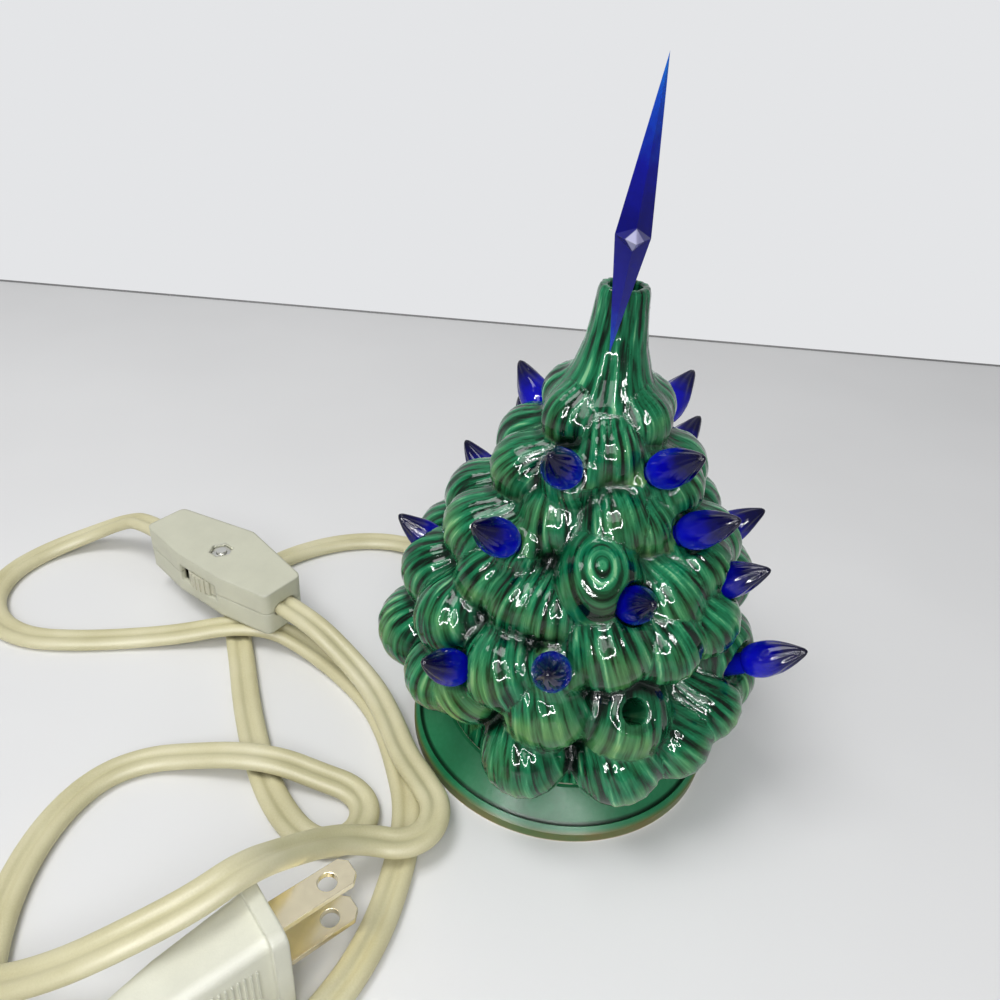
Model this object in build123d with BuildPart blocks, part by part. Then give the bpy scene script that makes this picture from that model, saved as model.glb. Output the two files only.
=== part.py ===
# A small glazed ceramic tree with push-in light pegs, on a lighted base with a switched lead.
# Sizes are in millimetres and angles in degrees. The origin is the centre of the foot on the table,
# Z is up and the front of the tree faces -Y. Shares are parts of the size that they follow.
import os
from math import acos, cos, pi, radians, sin, sqrt, tan

from build123d import *

os.makedirs("parts", exist_ok=True)

# Fits that all the pieces share
clearance = 0.3
running_fit = 0.1
overrun = 1.0

# Flat twin lead
cord_width = 7.2
cord_thickness = 3.6
cord_floor_gap = 0.05
cord_layer_gap = 0.55
cord_rest = cord_thickness / 2 + cord_floor_gap
cord_over = cord_rest + cord_thickness + cord_layer_gap
bend_share = 0.45
lead_azimuth = 125.0

# Base
base_radius = 40.0
base_foot_inner_radius = 36.2
base_lip_height = 3.9
base_lip_round = 1.3
base_groove_radius = 38.0
base_groove_width = 1.2
base_groove_depth = 0.7
base_seat_radius = 31.6
base_seat_height = 9.0
base_plate_thickness = 3.6
base_under_radius = 28.5
base_ring_radius = 26.2
base_ring_wall = 1.4
base_ring_height = 2.5
base_notch_inner_radius = 24.0
base_notch_width = 8.4
base_notch_height = 4.3

# Tree
tree_height = 113.3
tree_radius = 46.5
tree_foot_radius = 31.0
tree_foot_bore = base_ring_radius + clearance
tier_radius_shares = (1.0, 0.925, 0.763, 0.54, 0.32)
tier_height_shares = (
    (0.1, 0.215, 0.31, 0.4),
    (0.25, 0.355, 0.435, 0.52),
    (0.4, 0.495, 0.57, 0.655),
    (0.55, 0.635, 0.7, 0.78),
    (0.685, 0.76, 0.82, 0.885),
)
tier_top_shares = (0.55, 0.43, 0.29, 0.17, 0.14)
tier_azimuths = (
    (-171, -132, -106, -74, -48, -20, 15, 52, 88, 124, 160),
    (-145, -104, -66, -28, 8, 44, 84, 124, 165),
    (-158, -121, -89, -53, -16, 24, 60, 94, 126, 168),
    (-157, -120, -73, -36, 8, 52, 98, 148),
    (-145, -86, -43, 15, 78, 145),
)
lobe_tip_shares = (0.86, 1.0, 0.88)
lobe_valley_shares = (0.7, 0.84, 0.8)
collar_top_share = 0.13
neck_height_shares = (0.86, 0.885, 0.935, 0.97, 0.993, 1.0)
neck_radius_shares = (0.18, 0.17, 0.135, 0.12, 0.12, 0.105)
cavity_height_shares = (0.1, 0.185, 0.318, 0.45, 0.583, 0.697, 0.785, 0.838)
cavity_radius_shares = (0.57, 0.645, 0.624, 0.516, 0.366, 0.226, 0.118, 0.075)
neck_bore = 3.5

# Light pegs
peg_tilt = 40.0
peg_stem_radius = 2.5
peg_stem_length = 9.0
peg_bulb_length = 14.5
peg_bulb_radius = 4.1
peg_foot_radius = 3.3
peg_tip_radius = 0.5
peg_belly_share = 0.3
peg_neck_share = 0.72
peg_neck_radius_share = 0.5
peg_hole_radius = peg_stem_radius + clearance
peg_hole_depth = 18.0
peg_seat_radius = 4.7
peg_seat_reach = 40.0
loose_peg = 16
loose_peg_pull = 5.0
# Azimuth, seat height as a share of the tree height, seat radius as a share of the tree radius
peg_place_shares = (
    (129, 0.671, 0.417),
    (117, 0.543, 0.621),
    (45, 0.687, 0.443),
    (143, 0.468, 0.602),
    (-114, 0.701, 0.433),
    (-56, 0.702, 0.395),
    (44, 0.565, 0.583),
    (178, 0.38, 0.729),
    (-131, 0.56, 0.61),
    (-43, 0.586, 0.535),
    (-1, 0.482, 0.616),
    (-29, 0.459, 0.669),
    (-76, 0.484, 0.621),
    (-132, 0.3, 0.857),
    (-101, 0.391, 0.836),
    (-28, 0.279, 0.85),
    (88, 0.68, 0.43),
    (80, 0.547, 0.62),
    (62, 0.46, 0.667),
    (100, 0.46, 0.667),
    (50, 0.29, 0.85),
    (85, 0.29, 0.85),
    (120, 0.29, 0.85),
)
empty_hole_shares = (-74, 0.307, 0.86)

# Star topper
star_x = -1.2
star_y = -8.6
star_rise = 11.3
star_lean = 2.4
star_up = 29.6
star_down = 22.7
star_half_width = 3.35
star_half_depth = 2.9
star_point_reach = 6.0
star_point_half_height = 3.8
star_arm_radius = 1.7
star_arm_bend = 3.0
star_arm_drop = 2.0
star_plug_radius = neck_bore - clearance
star_plug_length = 9.0
star_plug_depth = 14.0

# Lamp socket
socket_barrel_radius = 11.5
socket_floor_gap = 1.0
socket_hole_radius = 13.0
socket_flange_radius = 15.5
socket_flange_thickness = 1.8
socket_collar_radius = 9.6
socket_top = 26.0
socket_bore_floor = 8.5
socket_slot_depth = 5.0
shell_wall = 0.45
clip_width = 5.0
clip_thickness = 0.6
clip_reach = 2.4
clip_foot = 1.6
clip_rise = 2.6
socket_contact_radius = 2.0
socket_contact_thickness = 0.8

# Lamp
lamp_shell_radius = 5.85
lamp_shell_bottom = 11.2
lamp_shell_top = 26.6
lamp_insulator_drop = 1.0
lamp_insulator_radius = 3.6
lamp_contact_radius = 1.8
lamp_contact_drop = 0.6
lamp_glass_radius = 11.0
lamp_glass_belly = 42.0
lamp_glass_tip = 64.0
lamp_glass_wall = 0.7
lamp_glass_seat = 22.0
lamp_stem_radius = 2.2
lamp_stem_top = 36.0
lamp_wire_radius = 0.35
lamp_wire_spread = 4.0
lamp_wire_top = 44.0
lamp_filament_radius = 0.45

# In-line switch
switch_x = -103.5
switch_y = 32.6
switch_azimuth = -32.5
switch_bottom = 8.5
switch_half_height = 7.0
switch_half_length = 27.0
switch_end_half_width = 6.6
switch_slot_side = 9.3
switch_slot_flat = 9.5
switch_apex = 12.3
switch_corner = 2.2
switch_wall = 1.6
switch_post_radius = 3.2
wheel_radius = 10.1
wheel_half_thickness = 2.5
wheel_rib_radius = 0.45
wheel_rib_count = 36
wheel_slot_half_length = 8.0
screw_radius = 1.5
screw_head_radius = 2.7
screw_head_height = 1.8
nut_flats = 5.5
nut_height = 2.4
nut_recess_depth = 3.4
contact_length = 9.0
contact_width = 4.0
contact_thickness = 0.8
contact_offset = 16.5

# Plug
plug_x = -57.5
plug_y = -75.0
plug_azimuth = 42.0
plug_half_height = 12.4
plug_floor_gap = 0.25
plug_flange_half_width = 8.3
plug_flange_thickness = 3.0
plug_body_half_width = 6.6
plug_body_half_height = 10.8
plug_waist_half_width = 5.6
plug_waist_half_height = 8.4
plug_rear_half_width = 5.2
plug_rear_half_height = 3.4
plug_waist = 20.0
plug_length = 34.0
plug_corner = 2.4
plug_cord_depth = 4.0
blade_spacing = 12.7
blade_width = 6.35
blade_thickness = 1.5
blade_length = 17.5
blade_root = 8.0
blade_hole_radius = 1.98
blade_hole_offset = 5.5
blade_corner = 1.6

# Put-away coil behind the tree
coil_x = 13.0
coil_y = 93.0
coil_outer_radius = 41.5
coil_pitch = 9.6
coil_in_turns = 1.125
coil_climb_turns = 0.5
coil_quarters = 11
tie_thickness = 0.9
tie_width = 4.0
tie_angle = 35.0
coil_rest = cord_rest + tie_thickness + clearance
coil_over = coil_rest + cord_thickness + cord_layer_gap


def turned(azimuth):
    """The level direction at an azimuth."""
    return Vector(cos(radians(azimuth)), sin(radians(azimuth)), 0)


def level(height_share):
    """The height above the table of a share of the tree height."""
    return base_seat_height + height_share * tree_height


def save(piece, name):
    """Names a piece and writes it to its file."""
    piece.label = name
    export_step(piece, "parts/" + name + ".step")


def lathe(outline):
    """A solid turned about Z from a closed outline of radius and height pairs."""
    with BuildPart() as turned_piece:
        with BuildSketch(Plane.XZ):
            with BuildLine():
                Polyline(*outline, close=True)
            make_face()
        revolve(axis=Axis.Z)
    return turned_piece.part


# Base with its foot ring, groove, seat for the tree and notch for the lead
base_top = base_seat_height + base_ring_height
base_underside = base_seat_height - base_plate_thickness
ring_inner_radius = base_ring_radius - base_ring_wall
with BuildPart() as base:
    add(lathe([
        (base_foot_inner_radius, 0),
        (base_radius, 0),
        (base_radius, base_lip_height - base_lip_round),
        (base_radius - base_lip_round, base_lip_height),
        (base_groove_radius + base_groove_width / 2, base_lip_height),
        (base_groove_radius, base_lip_height - base_groove_depth),
        (base_groove_radius - base_groove_width / 2, base_lip_height),
        (base_seat_radius, base_seat_height),
        (base_ring_radius, base_seat_height),
        (base_ring_radius, base_top),
        (ring_inner_radius, base_top),
        (ring_inner_radius, base_seat_height),
        (socket_hole_radius, base_seat_height),
        (socket_hole_radius, base_underside),
        (base_under_radius, base_underside),
    ]))
    notch_length = base_radius + overrun - base_notch_inner_radius
    with BuildSketch(Plane.XY.offset(-overrun).rotated((0, 0, lead_azimuth))):
        with Locations((base_notch_inner_radius + notch_length / 2, 0)):
            Rectangle(notch_length, base_notch_width)
    extrude(amount=base_notch_height + overrun, mode=Mode.SUBTRACT)
save(base.part, "base")


def peg_seat(place):
    """Where a peg's shoulder sits on the tree, and the way the peg points."""
    azimuth, height_share, radius_share = place
    outward = turned(azimuth)
    seat = outward * (radius_share * tree_radius) + Vector(0, 0, level(height_share))
    axis = outward * cos(radians(peg_tilt)) + Vector(0, 0, sin(radians(peg_tilt)))
    side = Vector(-outward.Y, outward.X, 0)
    return seat, axis, side


# Cutters for the peg holes, each with a wider seat that lets the bulb of the peg out
with BuildPart() as peg_cutters:
    for place in peg_place_shares + (empty_hole_shares,):
        seat, axis, side = peg_seat(place)
        with BuildSketch(Plane(origin=seat, x_dir=axis, z_dir=side)):
            with BuildLine():
                Polyline(
                    (-peg_hole_depth, 0),
                    (-peg_hole_depth, peg_hole_radius),
                    (0, peg_hole_radius),
                    (0, peg_seat_radius),
                    (peg_seat_reach, peg_seat_radius),
                    (peg_seat_reach, 0),
                    close=True,
                )
            make_face()
        revolve(axis=Axis(origin=seat, direction=axis))

# Tree: five tiers of drooping lobes on a hollow core, with a neck at the top
tree_top = level(1)
with BuildPart() as tree:
    for tier in range(len(tier_radius_shares)):
        tier_radius = tree_radius * tier_radius_shares[tier]
        top_radius = tree_radius * tier_top_shares[tier]
        tips = [tier_radius * share for share in lobe_tip_shares] + [top_radius]
        valleys = [tier_radius * share for share in lobe_valley_shares] + [top_radius]
        azimuths = tier_azimuths[tier]
        for step, height_share in enumerate(tier_height_shares[tier]):
            outline = []
            for lobe, azimuth in enumerate(azimuths):
                after = azimuths[lobe + 1] if lobe + 1 < len(azimuths) else azimuths[0] + 360
                tip = turned(azimuth) * tips[step]
                valley = turned((azimuth + after) / 2) * valleys[step]
                outline.append((tip.X, tip.Y))
                outline.append((valley.X, valley.Y))
            with BuildSketch(Plane.XY.offset(level(height_share))):
                with BuildLine():
                    Spline(*outline, periodic=True)
                make_face()
        loft()
    add(lathe([
        (0, base_seat_height),
        (tree_foot_radius, base_seat_height),
        (tree_foot_radius, level(collar_top_share)),
        (0, level(collar_top_share)),
    ]))
    neck = [(tree_radius * r, level(h)) for r, h in zip(neck_radius_shares, neck_height_shares)]
    add(lathe([(0, level(neck_height_shares[0]))] + neck + [(0, tree_top)]))
    cavity = [(tree_radius * r, level(h)) for r, h in zip(cavity_radius_shares, cavity_height_shares)]
    add(lathe(
        [(0, base_seat_height - overrun), (tree_foot_bore, base_seat_height - overrun)]
        + [(tree_foot_bore, cavity[0][1])]
        + cavity[1:-1]
        + [(neck_bore, cavity[-1][1]), (neck_bore, tree_top + overrun), (0, tree_top + overrun)]
    ), mode=Mode.SUBTRACT)
    add(peg_cutters.part, mode=Mode.SUBTRACT)
save(tree.part, "tree_shell")

# Light pegs: a plain stem in the hole and a flame-shaped bulb outside
for number, place in enumerate(peg_place_shares, start=1):
    seat, axis, side = peg_seat(place)
    pull = clearance + (loose_peg_pull if number == loose_peg else 0)
    shoulder = seat + axis * pull
    belly = peg_bulb_length * peg_belly_share
    neck_at = peg_bulb_length * peg_neck_share
    with BuildPart() as peg:
        with BuildSketch(Plane(origin=shoulder, x_dir=axis, z_dir=side)):
            with BuildLine():
                Polyline(
                    (peg_bulb_length, 0),
                    (-peg_stem_length, 0),
                    (-peg_stem_length, peg_stem_radius),
                    (0, peg_stem_radius),
                    (0, peg_foot_radius),
                )
                Spline(
                    (0, peg_foot_radius),
                    (belly, peg_bulb_radius),
                    (neck_at, peg_bulb_radius * peg_neck_radius_share),
                    (peg_bulb_length, peg_tip_radius),
                )
                Line((peg_bulb_length, peg_tip_radius), (peg_bulb_length, 0))
            make_face()
        revolve(axis=Axis(origin=shoulder, direction=axis))
    save(peg.part, "light_peg_" + str(number).zfill(2))

# Star topper: a long upright spike with short points front and back, on an arm and a plug
star_centre = Vector(star_x, star_y, tree_top + star_rise)
star_up_dir = Vector(sin(radians(star_lean)), 0, cos(radians(star_lean)))
star_plane = Plane(origin=star_centre, x_dir=star_up_dir.cross(Vector(0, -1, 0)), z_dir=star_up_dir)
star_face = Plane(origin=star_centre, x_dir=star_plane.x_dir, z_dir=Vector(0, -1, 0))
with BuildSketch(star_plane) as spike_girdle:
    Polygon(
        (star_half_width, 0), (0, star_half_depth), (-star_half_width, 0), (0, -star_half_depth),
        align=None,
    )
with BuildSketch(star_face) as point_girdle:
    Polygon(
        (star_half_width, 0), (0, star_point_half_height), (-star_half_width, 0),
        (0, -star_point_half_height), align=None,
    )
arm_height = star_centre.Z - star_arm_drop
plug_bottom = tree_top - star_plug_depth
with BuildPart() as star:
    for tip in (star_centre + star_up_dir * star_up, star_centre - star_up_dir * star_down):
        loft([spike_girdle.sketch.face(), Vertex(*tip)])
    for reach in (-star_point_reach, star_point_reach):
        loft([point_girdle.sketch.face(), Vertex(*(star_centre + Vector(0, reach, 0)))])
    with BuildLine() as arm:
        FilletPolyline(
            (star_centre.X, star_centre.Y, arm_height),
            (0, 0, arm_height),
            (0, 0, plug_bottom + star_plug_length / 2),
            radius=star_arm_bend,
        )
    with BuildSketch(Plane(origin=arm.line @ 0, z_dir=arm.line % 0)):
        Circle(star_arm_radius)
    sweep()
    with BuildSketch(Plane.XY.offset(plug_bottom)):
        Circle(star_plug_radius)
    extrude(amount=star_plug_length)
save(star.part, "star_topper")

# Lamp socket: moulded body, screw shell, centre contact and two spring clips under the base
flange_top = base_seat_height + socket_flange_thickness
socket_shell_radius = lamp_shell_radius + clearance + shell_wall
socket_bore = socket_shell_radius + running_fit
with BuildPart() as socket_body:
    add(lathe([
        (0, socket_floor_gap),
        (socket_barrel_radius, socket_floor_gap),
        (socket_barrel_radius, base_seat_height),
        (socket_flange_radius, base_seat_height),
        (socket_flange_radius, flange_top),
        (socket_collar_radius, flange_top),
        (socket_collar_radius, socket_top),
        (socket_bore, socket_top),
        (socket_bore, socket_bore_floor),
        (0, socket_bore_floor),
    ]))
    slot_length = socket_slot_depth + overrun
    with BuildSketch(Plane.XY.rotated((0, 0, lead_azimuth))):
        with Locations((socket_barrel_radius + overrun - slot_length / 2, 0)):
            Rectangle(slot_length, cord_width + clearance * 2)
    extrude(amount=base_notch_height, mode=Mode.SUBTRACT)
save(socket_body.part, "socket_body")

shell_bottom = socket_bore_floor + clearance
save(lathe([
    (socket_shell_radius - shell_wall, shell_bottom),
    (socket_shell_radius, shell_bottom),
    (socket_shell_radius, socket_top - clearance),
    (socket_shell_radius - shell_wall, socket_top - clearance),
]), "socket_screw_shell")

contact_top = socket_bore_floor + socket_contact_thickness
with BuildPart() as socket_contact:
    with BuildSketch(Plane.XY.offset(socket_bore_floor)):
        Circle(socket_contact_radius)
    extrude(amount=socket_contact_thickness)
save(socket_contact.part, "socket_centre_contact")

clip_inner = socket_barrel_radius + running_fit
clip_outer = clip_inner + clip_thickness
clip_top = base_seat_height - clearance
with BuildPart() as clips:
    for clip_azimuth in (lead_azimuth - 90, lead_azimuth + 90):
        outward = turned(clip_azimuth)
        with BuildSketch(Plane(origin=(0, 0, 0), x_dir=outward, z_dir=outward.cross(Vector(0, 0, 1)))):
            with BuildLine():
                Polyline(
                    (clip_inner, clip_foot),
                    (clip_outer, clip_foot),
                    (clip_outer + clip_reach, clip_foot + clip_rise),
                    (clip_outer + clip_reach, clip_foot + clip_rise + clip_thickness),
                    (clip_outer, clip_foot + clip_thickness * 2),
                    (clip_outer, clip_top),
                    (clip_inner, clip_top),
                    close=True,
                )
            make_face()
        extrude(amount=clip_width / 2, both=True)
save(clips.part, "socket_spring_clips")

# Lamp: screw shell, insulator, tip contact, hollow glass, and the stem with its filament inside
lamp_shell_inner = lamp_shell_radius - shell_wall
save(lathe([
    (lamp_insulator_radius, lamp_shell_bottom),
    (lamp_shell_radius, lamp_shell_bottom),
    (lamp_shell_radius, lamp_shell_top),
    (lamp_shell_inner, lamp_shell_top),
    (lamp_shell_inner, lamp_shell_bottom + shell_wall),
    (lamp_insulator_radius, lamp_shell_bottom + shell_wall),
]), "lamp_screw_shell")
insulator_bottom = lamp_shell_bottom - lamp_insulator_drop
save(lathe([
    (0, insulator_bottom),
    (lamp_contact_radius, insulator_bottom),
    (lamp_insulator_radius, lamp_shell_bottom),
    (0, lamp_shell_bottom),
]), "lamp_insulator")
save(lathe([
    (0, insulator_bottom - lamp_contact_drop),
    (lamp_contact_radius / 2, insulator_bottom - lamp_contact_drop),
    (lamp_contact_radius, insulator_bottom),
    (0, insulator_bottom),
]), "lamp_tip_contact")

glass_neck = lamp_shell_inner - running_fit
glass_bore = glass_neck - lamp_glass_wall
with BuildPart() as lamp_glass:
    for neck_radius, belly_radius, tip_height, foot, wall_mode in (
        (glass_neck, lamp_glass_radius, lamp_glass_tip, lamp_glass_seat, Mode.ADD),
        (
            glass_bore,
            lamp_glass_radius - lamp_glass_wall,
            lamp_glass_tip - lamp_glass_wall,
            lamp_glass_seat - overrun,
            Mode.SUBTRACT,
        ),
    ):
        with BuildSketch(Plane.XZ):
            with BuildLine():
                Polyline((0, tip_height), (0, foot), (neck_radius, foot), (neck_radius, lamp_shell_top))
                Spline(
                    (neck_radius, lamp_shell_top),
                    (belly_radius, lamp_glass_belly),
                    tangents=[(0, 1), (0, 1)],
                )
                Spline((belly_radius, lamp_glass_belly), (0, tip_height), tangents=[(0, 1), (-1, 0)])
            make_face()
        revolve(axis=Axis.Z, mode=wall_mode)
save(lamp_glass.part, "lamp_glass")

save(lathe([
    (0, lamp_glass_seat),
    (glass_bore - running_fit, lamp_glass_seat),
    (glass_bore - running_fit, lamp_glass_seat + lamp_stem_radius),
    (lamp_stem_radius, lamp_shell_top),
    (lamp_stem_radius, lamp_stem_top),
    (0, lamp_stem_top),
]), "lamp_stem")

filament_span = lamp_wire_spread - lamp_wire_radius
with BuildPart() as filament:
    with BuildLine() as wire:
        FilletPolyline(
            (-lamp_stem_radius / 2, 0, lamp_stem_top + running_fit),
            (-filament_span, 0, lamp_wire_top),
            (filament_span, 0, lamp_wire_top),
            (lamp_stem_radius / 2, 0, lamp_stem_top + running_fit),
            radius=lamp_filament_radius * 2,
        )
    with BuildSketch(Plane(origin=wire.line @ 0, z_dir=wire.line % 0)):
        Circle(lamp_wire_radius)
    sweep()
save(filament.part, "lamp_filament")

# In-line switch: two covers, a thumbwheel, the screw and nut that close it, and its contacts
switch_middle = switch_bottom + switch_half_height
switch_top = switch_middle + switch_half_height
switch_along = turned(switch_azimuth)
switch_across = turned(switch_azimuth + 90)


def switch_level(height):
    """A level plane in the switch's own directions."""
    return Plane(origin=(switch_x, switch_y, height), x_dir=switch_along, z_dir=Vector(0, 0, 1))


def switch_outline(inset):
    """The switch seen from above, drawn in by an inset; the flat side is where the wheel shows."""
    end = switch_half_length - inset
    Polygon(
        (-end, inset - switch_end_half_width),
        (-switch_slot_flat, inset - switch_slot_side),
        (switch_slot_flat, inset - switch_slot_side),
        (end, inset - switch_end_half_width),
        (end, switch_end_half_width - inset),
        (0, switch_apex - inset),
        (-end, switch_end_half_width - inset),
        align=None,
    )


wheel_gap = wheel_half_thickness + clearance
cord_hole_width = cord_width + clearance * 2
cord_hole_height = cord_thickness + clearance * 2
for name, start, floor, inward in (
    ("switch_bottom_cover", switch_bottom, switch_bottom + switch_wall, 1),
    ("switch_top_cover", switch_top, switch_top - switch_wall, -1),
):
    with BuildPart() as cover:
        with BuildSketch(switch_level(start)) as outer:
            switch_outline(0)
            fillet(outer.vertices(), switch_corner)
        extrude(amount=inward * switch_half_height)
        with BuildSketch(switch_level(floor)):
            switch_outline(switch_wall)
        extrude(amount=inward * switch_half_height, mode=Mode.SUBTRACT)
        with BuildSketch(switch_level(floor)):
            Circle(switch_post_radius)
        extrude(amount=inward * (switch_half_height - switch_wall - wheel_gap))
        with BuildSketch(switch_level(start - inward * overrun)):
            Circle(screw_radius + clearance)
        extrude(amount=inward * (switch_half_height + overrun), mode=Mode.SUBTRACT)
        with BuildSketch(switch_level(start - inward * overrun)):
            if inward > 0:
                Circle(screw_head_radius + clearance)
            else:
                RegularPolygon(nut_flats / 2 + clearance, 6, major_radius=False)
        extrude(amount=inward * (nut_recess_depth + overrun), mode=Mode.SUBTRACT)
        with BuildSketch(switch_level(switch_middle)):
            with Locations((0, -switch_slot_side)):
                Rectangle(wheel_slot_half_length * 2, (switch_wall + overrun) * 2)
        extrude(amount=-inward * wheel_gap, mode=Mode.SUBTRACT)
        for end in (-1, 1):
            mouth = switch_level(switch_middle).from_local_coords(Vector(end * (switch_half_length + overrun), 0, 0))
            with BuildSketch(Plane(origin=mouth, x_dir=switch_across, z_dir=switch_along * -end)):
                SlotOverall(cord_hole_width, cord_hole_height)
            extrude(amount=switch_wall + overrun * 2, mode=Mode.SUBTRACT)
    save(cover.part, name)

with BuildPart() as wheel:
    with BuildSketch(switch_level(switch_middle - wheel_half_thickness)):
        Circle(wheel_radius)
        Circle(screw_radius + clearance, mode=Mode.SUBTRACT)
        with PolarLocations(wheel_radius, wheel_rib_count):
            Circle(wheel_rib_radius, mode=Mode.SUBTRACT)
    extrude(amount=wheel_half_thickness * 2)
save(wheel.part, "switch_thumbwheel")

screw_seat = switch_bottom + nut_recess_depth
with BuildPart() as screw:
    with BuildSketch(switch_level(screw_seat - screw_head_height)):
        Circle(screw_head_radius)
    extrude(amount=screw_head_height)
    with BuildSketch(switch_level(screw_seat)):
        Circle(screw_radius)
    extrude(amount=switch_top - screw_seat - running_fit)
save(screw.part, "switch_screw")

with BuildPart() as nut:
    with BuildSketch(switch_level(switch_top - nut_recess_depth)):
        RegularPolygon(nut_flats / 2, 6, major_radius=False)
        Circle(screw_radius + running_fit, mode=Mode.SUBTRACT)
    extrude(amount=nut_height)
save(nut.part, "switch_nut")

with BuildPart() as contacts:
    with BuildSketch(switch_level(switch_bottom + switch_wall)):
        with Locations((-contact_offset, 0), (contact_offset, 0)):
            Rectangle(contact_length, contact_width)
    extrude(amount=contact_thickness)
save(contacts.part, "switch_contacts")

# Plug standing on its narrow edge: moulded body and two flat blades
plug_forward = turned(plug_azimuth)
plug_side = turned(plug_azimuth - 90)
plug_middle = plug_half_height + plug_floor_gap


def plug_plane(back):
    """An upright plane across the plug, a distance behind its front face."""
    origin = Vector(plug_x, plug_y, plug_middle) - plug_forward * back
    return Plane(origin=origin, x_dir=plug_side, z_dir=plug_forward)


blade_rows = (-blade_spacing / 2, blade_spacing / 2)
with BuildPart() as plug_body:
    with BuildSketch(plug_plane(0)):
        RectangleRounded(plug_flange_half_width * 2, plug_half_height * 2, plug_corner)
    extrude(amount=-plug_flange_thickness)
    for back, half_width, half_height in (
        (plug_flange_thickness, plug_body_half_width, plug_body_half_height),
        (plug_waist, plug_waist_half_width, plug_waist_half_height),
        (plug_length, plug_rear_half_width, plug_rear_half_height),
    ):
        with BuildSketch(plug_plane(back)):
            RectangleRounded(half_width * 2, half_height * 2, plug_corner)
    loft(ruled=True)
    with BuildSketch(plug_plane(-overrun)):
        for row in blade_rows:
            with Locations((0, row)):
                Rectangle(blade_width + running_fit * 2, blade_thickness + running_fit * 2)
    extrude(amount=-blade_root - overrun, mode=Mode.SUBTRACT)
    with BuildSketch(plug_plane(plug_length + overrun)):
        SlotOverall(cord_hole_width, cord_hole_height)
    extrude(amount=plug_cord_depth + overrun, mode=Mode.SUBTRACT)
save(plug_body.part, "plug_body")

for name, row in zip(("plug_blade_lower", "plug_blade_upper"), blade_rows):
    blade_origin = Vector(plug_x, plug_y, plug_middle + row - blade_thickness / 2)
    with BuildPart() as blade:
        with BuildSketch(Plane(origin=blade_origin, x_dir=plug_forward, z_dir=Vector(0, 0, 1))):
            with Locations(((blade_length - blade_root) / 2 + running_fit, 0)):
                tongue = Rectangle(blade_length + blade_root, blade_width)
            chamfer(tongue.vertices().sort_by(Axis(blade_origin, plug_forward))[-2:], blade_corner)
            with Locations((blade_length - blade_hole_offset, 0)):
                Circle(blade_hole_radius, mode=Mode.SUBTRACT)
        extrude(amount=blade_thickness)
    save(blade.part, name)


# Lead: flat twin flex with rounded edges
def cord_section(path):
    """The lead's section at the start of a path, wide side level."""
    heading = path % 0
    with BuildSketch(Plane(origin=path @ 0, x_dir=heading.cross(Vector(0, 0, 1)), z_dir=heading)) as section:
        SlotOverall(cord_width, cord_thickness)
    return section.sketch


def above(wire):
    """A copy of a path straight above it, which keeps the wide side of the lead level."""
    return wire.moved(Location((0, 0, cord_width)))


def bend_radii(points):
    """The largest bend at each corner that leaves straight runs between the bends."""
    radii = []
    for before, corner, after in zip(points, points[1:], points[2:]):
        run_in = Vector(*corner) - Vector(*before)
        run_out = Vector(*after) - Vector(*corner)
        turn = acos(max(-1, min(1, run_in.normalized().dot(run_out.normalized()))))
        radii.append(bend_share * min(run_in.length, run_out.length) / tan(turn / 2))
    return radii


def lay_cord(points, name):
    """One free stretch of the lead along straight runs joined by bends."""
    radii = bend_radii(points)
    with BuildPart() as stretch:
        with BuildLine() as route:
            FilletPolyline(*points, radius=radii)
        sweep(cord_section(route.line), path=route.line, binormal=above(route.wire()), clean=False)
    save(stretch.part, name)
    length = route.wire().length
    filled = stretch.part.volume / (length * cord_section(route.line).area)
    print(name, "length", round(length, 1), "filled", round(filled, 3), "bends", [round(r, 1) for r in radii])


def switch_end(end, depth):
    """A point on the switch's long axis, a depth inside its end, at the height of the split."""
    spot = switch_level(switch_middle).from_local_coords(Vector(end * (switch_half_length - depth), 0, 0))
    return (spot.X, spot.Y, spot.Z)


def plug_rear(back):
    """A point on the plug's axis, a distance behind its rear end."""
    spot = plug_plane(plug_length + back).origin
    return (spot.X, spot.Y, spot.Z)


# Coil of the lead that the photograph doesn't show: in along the table, up a layer, and out on top
coil_turns = coil_in_turns * 2 + coil_climb_turns
climb_start = coil_in_turns
climb_end = coil_in_turns + coil_climb_turns


def coil_point(turn):
    """The middle of the lead after a number of clockwise turns from the coil's left side."""
    inward = coil_pitch * min(turn, climb_start, coil_turns - turn)
    climb = max(0, min(1, (turn - climb_start) / coil_climb_turns))
    rise = (1 - cos(pi * climb)) / 2
    reach = turned(180 - 360 * turn) * (coil_outer_radius - inward)
    height = coil_rest + rise * (coil_over - coil_rest)
    return Vector(coil_x + reach.X, coil_y + reach.Y, height)


def coil_heading(turn):
    """The direction of the lead at that place; level and square to the radius at both ends."""
    if turn <= 0 or turn >= coil_turns:
        return turned(90 - 360 * turn)
    step = 1 / 3600
    return (coil_point(turn + step) - coil_point(turn - step)).normalized()


coil_stops = [coil_turns * stop / coil_quarters for stop in range(coil_quarters + 1)]
with BuildPart() as coil:
    with BuildLine() as coil_route:
        for start_turn, end_turn in zip(coil_stops, coil_stops[1:]):
            p0, p1 = coil_point(start_turn), coil_point(end_turn)
            t0, t1 = coil_heading(start_turn), coil_heading(end_turn)
            chord = p1 - p0
            a = 2 * (1 - t0.dot(t1))
            b = 2 * chord.dot(t0 + t1)
            c = chord.dot(chord)
            reach = (sqrt(b * b + 4 * a * c) - b) / (2 * a)
            corner_in, corner_out = p0 + t0 * reach, p1 - t1 * reach
            joint = (corner_in + corner_out) * 0.5
            TangentArc(p0, joint, tangent=t0)
            TangentArc(joint, p1, tangent=corner_out - corner_in)
    sweep(cord_section(coil_route.line), path=coil_route.line, binormal=above(coil_route.wire()), clean=False)
save(coil.part, "cord_coil")

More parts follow.
